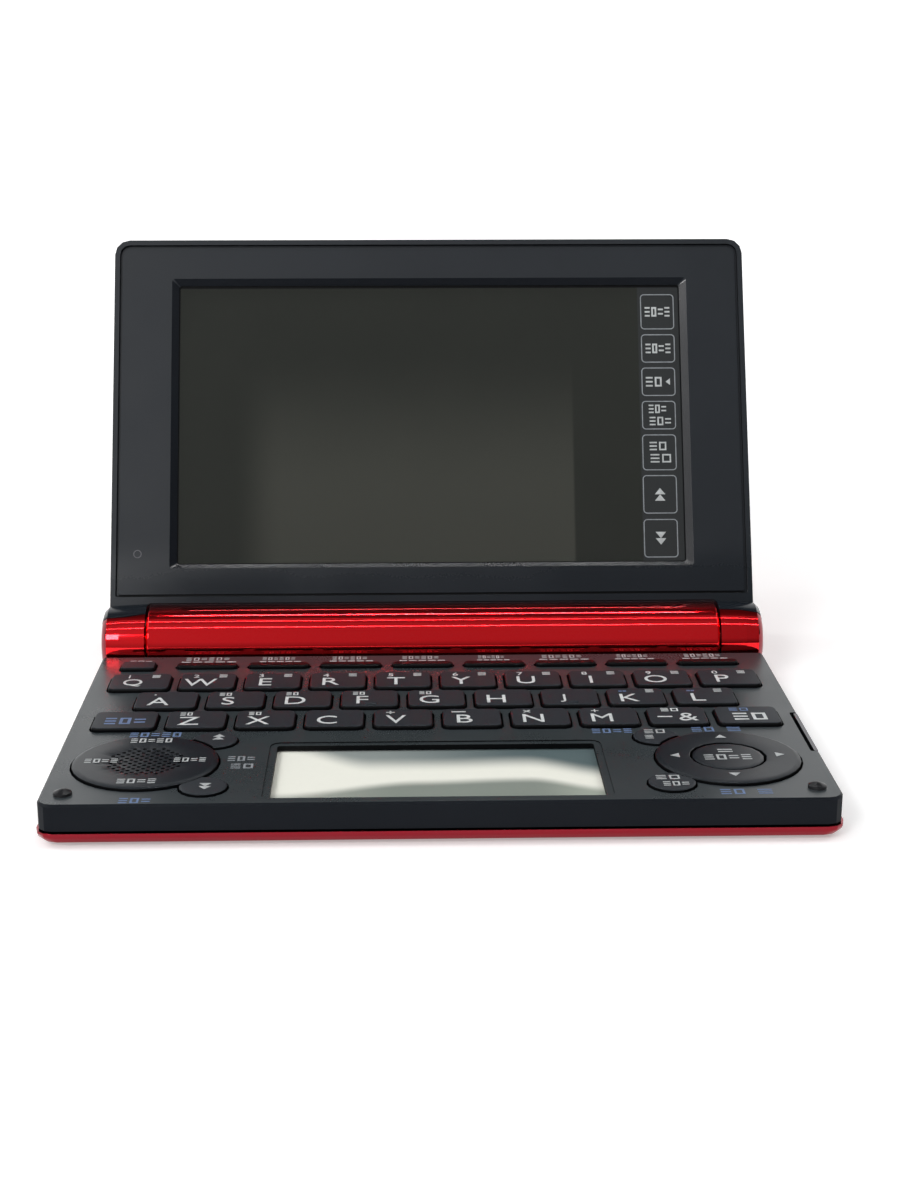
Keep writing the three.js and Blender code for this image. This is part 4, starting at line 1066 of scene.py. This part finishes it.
def field_frame(x, low, high):
    middle, tall = (low + high) / 2, high - low
    inner = rounded_outline(x, middle, FIELD_WIDTH - 2 * FIELD_LINE, tall - 2 * FIELD_LINE,
                            FIELD_CORNER - FIELD_LINE)
    return plate([rounded_outline(x, middle, FIELD_WIDTH, tall, FIELD_CORNER), inner])


def field_sign(index, x, middle):
    """One word, a word with an arrowhead, two lines of words, or a double arrowhead."""
    if index < 2:
        return [word(x, middle, 6.2, 2.3, 4)]
    if index == 2:
        return [word(x - 1.1, middle, 4.2, 2.3, 2), side_triangle(x + 2.2, middle, -1.0, 1.6)]
    if index < 5:
        count = 3 if index == 3 else 2
        upper = word(x - 0.3, middle + 1.5, 4.4, 2.0, count)
        return [upper, word(x + 0.3, middle - 1.4, 5.4, 2.0, count)]
    return double_head(x, middle, 2.4, 1.5 if index == 5 else -1.5)


printed("touch_frames", [field_frame(*field) for field in FIELDS], "lid", GREY_INK,
        on_lid(GLASS_FRONT))
touch_signs = []
for index, (x, low, high) in enumerate(FIELDS):
    touch_signs += field_sign(index, x, (low + high) / 2)
printed("touch_signs", touch_signs, "lid", SOFT_INK, on_lid(GLASS_FRONT))
ring = [circle_outline(*ROUND_MARK_AT, radius, ROUND_MARK_SIDES) for radius in ROUND_MARK_RADII]
printed("round_mark", [plate(ring)], "lid", stylus_plastic, on_lid(PANEL_FACE))
print("touch fields", len(FIELDS))

# %% [markdown]
# Six screws hold the halves together from below. Each sits at the bottom of its recess: a flat
# steel head with a rounded rim and a cross slot. One is modelled, the rest are copies.

# %% Screws underneath
SCREW_RADIUS, SCREW_LOW, SCREW_HIGH = 1.6, 0.8, 1.25
SCREW_ROUND, SLOT_LONG, SLOT_WIDE, SLOT_DEEP = 0.15, 1.7, 0.42, 0.28
SCREWS = ((-65.4, 55.25), (65.4, 55.25), (-36.0, 18.0), (34.8, 18.0), (-54.0, 82.0), (54.0, 82.0))
screw_steel = worked_steel("blackened_screw", "Z", 1200.0)


def box_cutter(width, depth, height, place):
    bpy.ops.object.select_all(action="DESELECT")
    bpy.ops.mesh.primitive_cube_add(size=1, location=place)
    item = bpy.context.object
    item.scale = (width, depth, height)
    bpy.ops.object.transform_apply(location=True, rotation=True, scale=True)
    return item


def screw_head():
    middle = (0, 0, (SCREW_LOW + SCREW_HIGH) / 2 * MM)
    item = rounded_cylinder(32, SCREW_RADIUS, SCREW_HIGH - SCREW_LOW, SCREW_ROUND, 3, place=middle)
    for width, depth in ((SLOT_LONG, SLOT_WIDE), (SLOT_WIDE, SLOT_LONG)):
        cut_with(item, box_cutter(width * MM, depth * MM, 2 * SLOT_DEEP * MM, (0, 0, SCREW_LOW * MM)))
    shade(item)
    item.data.materials.append(screw_steel)
    return item


first_screw = screw_head()
for index, (x, y) in enumerate(SCREWS):
    screw = bpy.data.objects.new(f"screw_{index + 1}", first_screw.data.copy())
    bpy.context.scene.collection.objects.link(screw)
    screw.data.transform(Matrix.Translation((x * MM, FRONT + y * MM, 0)))
    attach(screw, "base")
bpy.data.objects.remove(first_screw)
print("screws", len(SCREWS))

# %% [markdown]
# The dictionary rests on four soft spots: two round feet at the front and two pads under the
# barrel. They are part of the housings' solids, so only their faces get the rubber finish.

# %% Rubber feet
def rubber():
    finish = Finish("foot_rubber")
    scuff = finish.ramp(finish.noise(400.0, 4.0), 0.4, 0.75)
    tone = finish.mix(scuff, rgb(30, 30, 31), rgb(52, 51, 50))
    return finish.surface(tone, 0.7 + scuff * 0.15, gloss=0.2, normal=finish.bump(scuff, 0.02 * MM))


FOOT_TOP = 0.5 * MM
foot_rubber = rubber()
for node in ("bottom_case", "battery_barrel"):
    item = done[node]
    item.data.materials.append(foot_rubber)
    last = len(item.data.materials) - 1
    soft = [face for face in item.data.polygons if face.center.z < FOOT_TOP]
    for face in soft:
        face.material_index = last
    print("rubber faces on", node, len(soft))

# %% [markdown]
# Two round bumpers near the front corners of the deck stop the closing lid. Their tops are
# slightly domed: the top face of each is inset and lifted by a fraction of a millimetre, still
# lower than the face of the closed lid.

# %% Bumpers on the deck
BUMPER_FROM, CROWN_FROM, CROWN_INSET, CROWN_RISE = 0.02 * MM, 0.9 * MM, 0.5 * MM, 0.16 * MM
bumper_rubber = grained_plastic("bumper_rubber", ((18, 19, 22), (24, 25, 28)), 0.3, PLAIN_GRAIN, gloss=0.3)
deck = done["top_case"].data
active(done["top_case"])
for face in deck.polygons:
    face.select = face.center.z > DECK_TOP + CROWN_FROM and face.normal.z > WALL_SLOPE
for edge in deck.edges:
    edge.select = False
bpy.ops.object.mode_set(mode="EDIT")
bpy.ops.mesh.select_mode(type="FACE")
bpy.ops.mesh.inset(thickness=CROWN_INSET)
bpy.ops.transform.translate(value=(0, 0, CROWN_RISE))
bpy.ops.mesh.select_mode(type="VERT")
bpy.ops.object.mode_set(mode="OBJECT")
deck.materials.append(bumper_rubber)
raised = [face for face in deck.polygons if face.center.z > DECK_TOP + BUMPER_FROM]
for face in raised:
    face.material_index = len(deck.materials) - 1
print("rubber faces on the deck", len(raised))
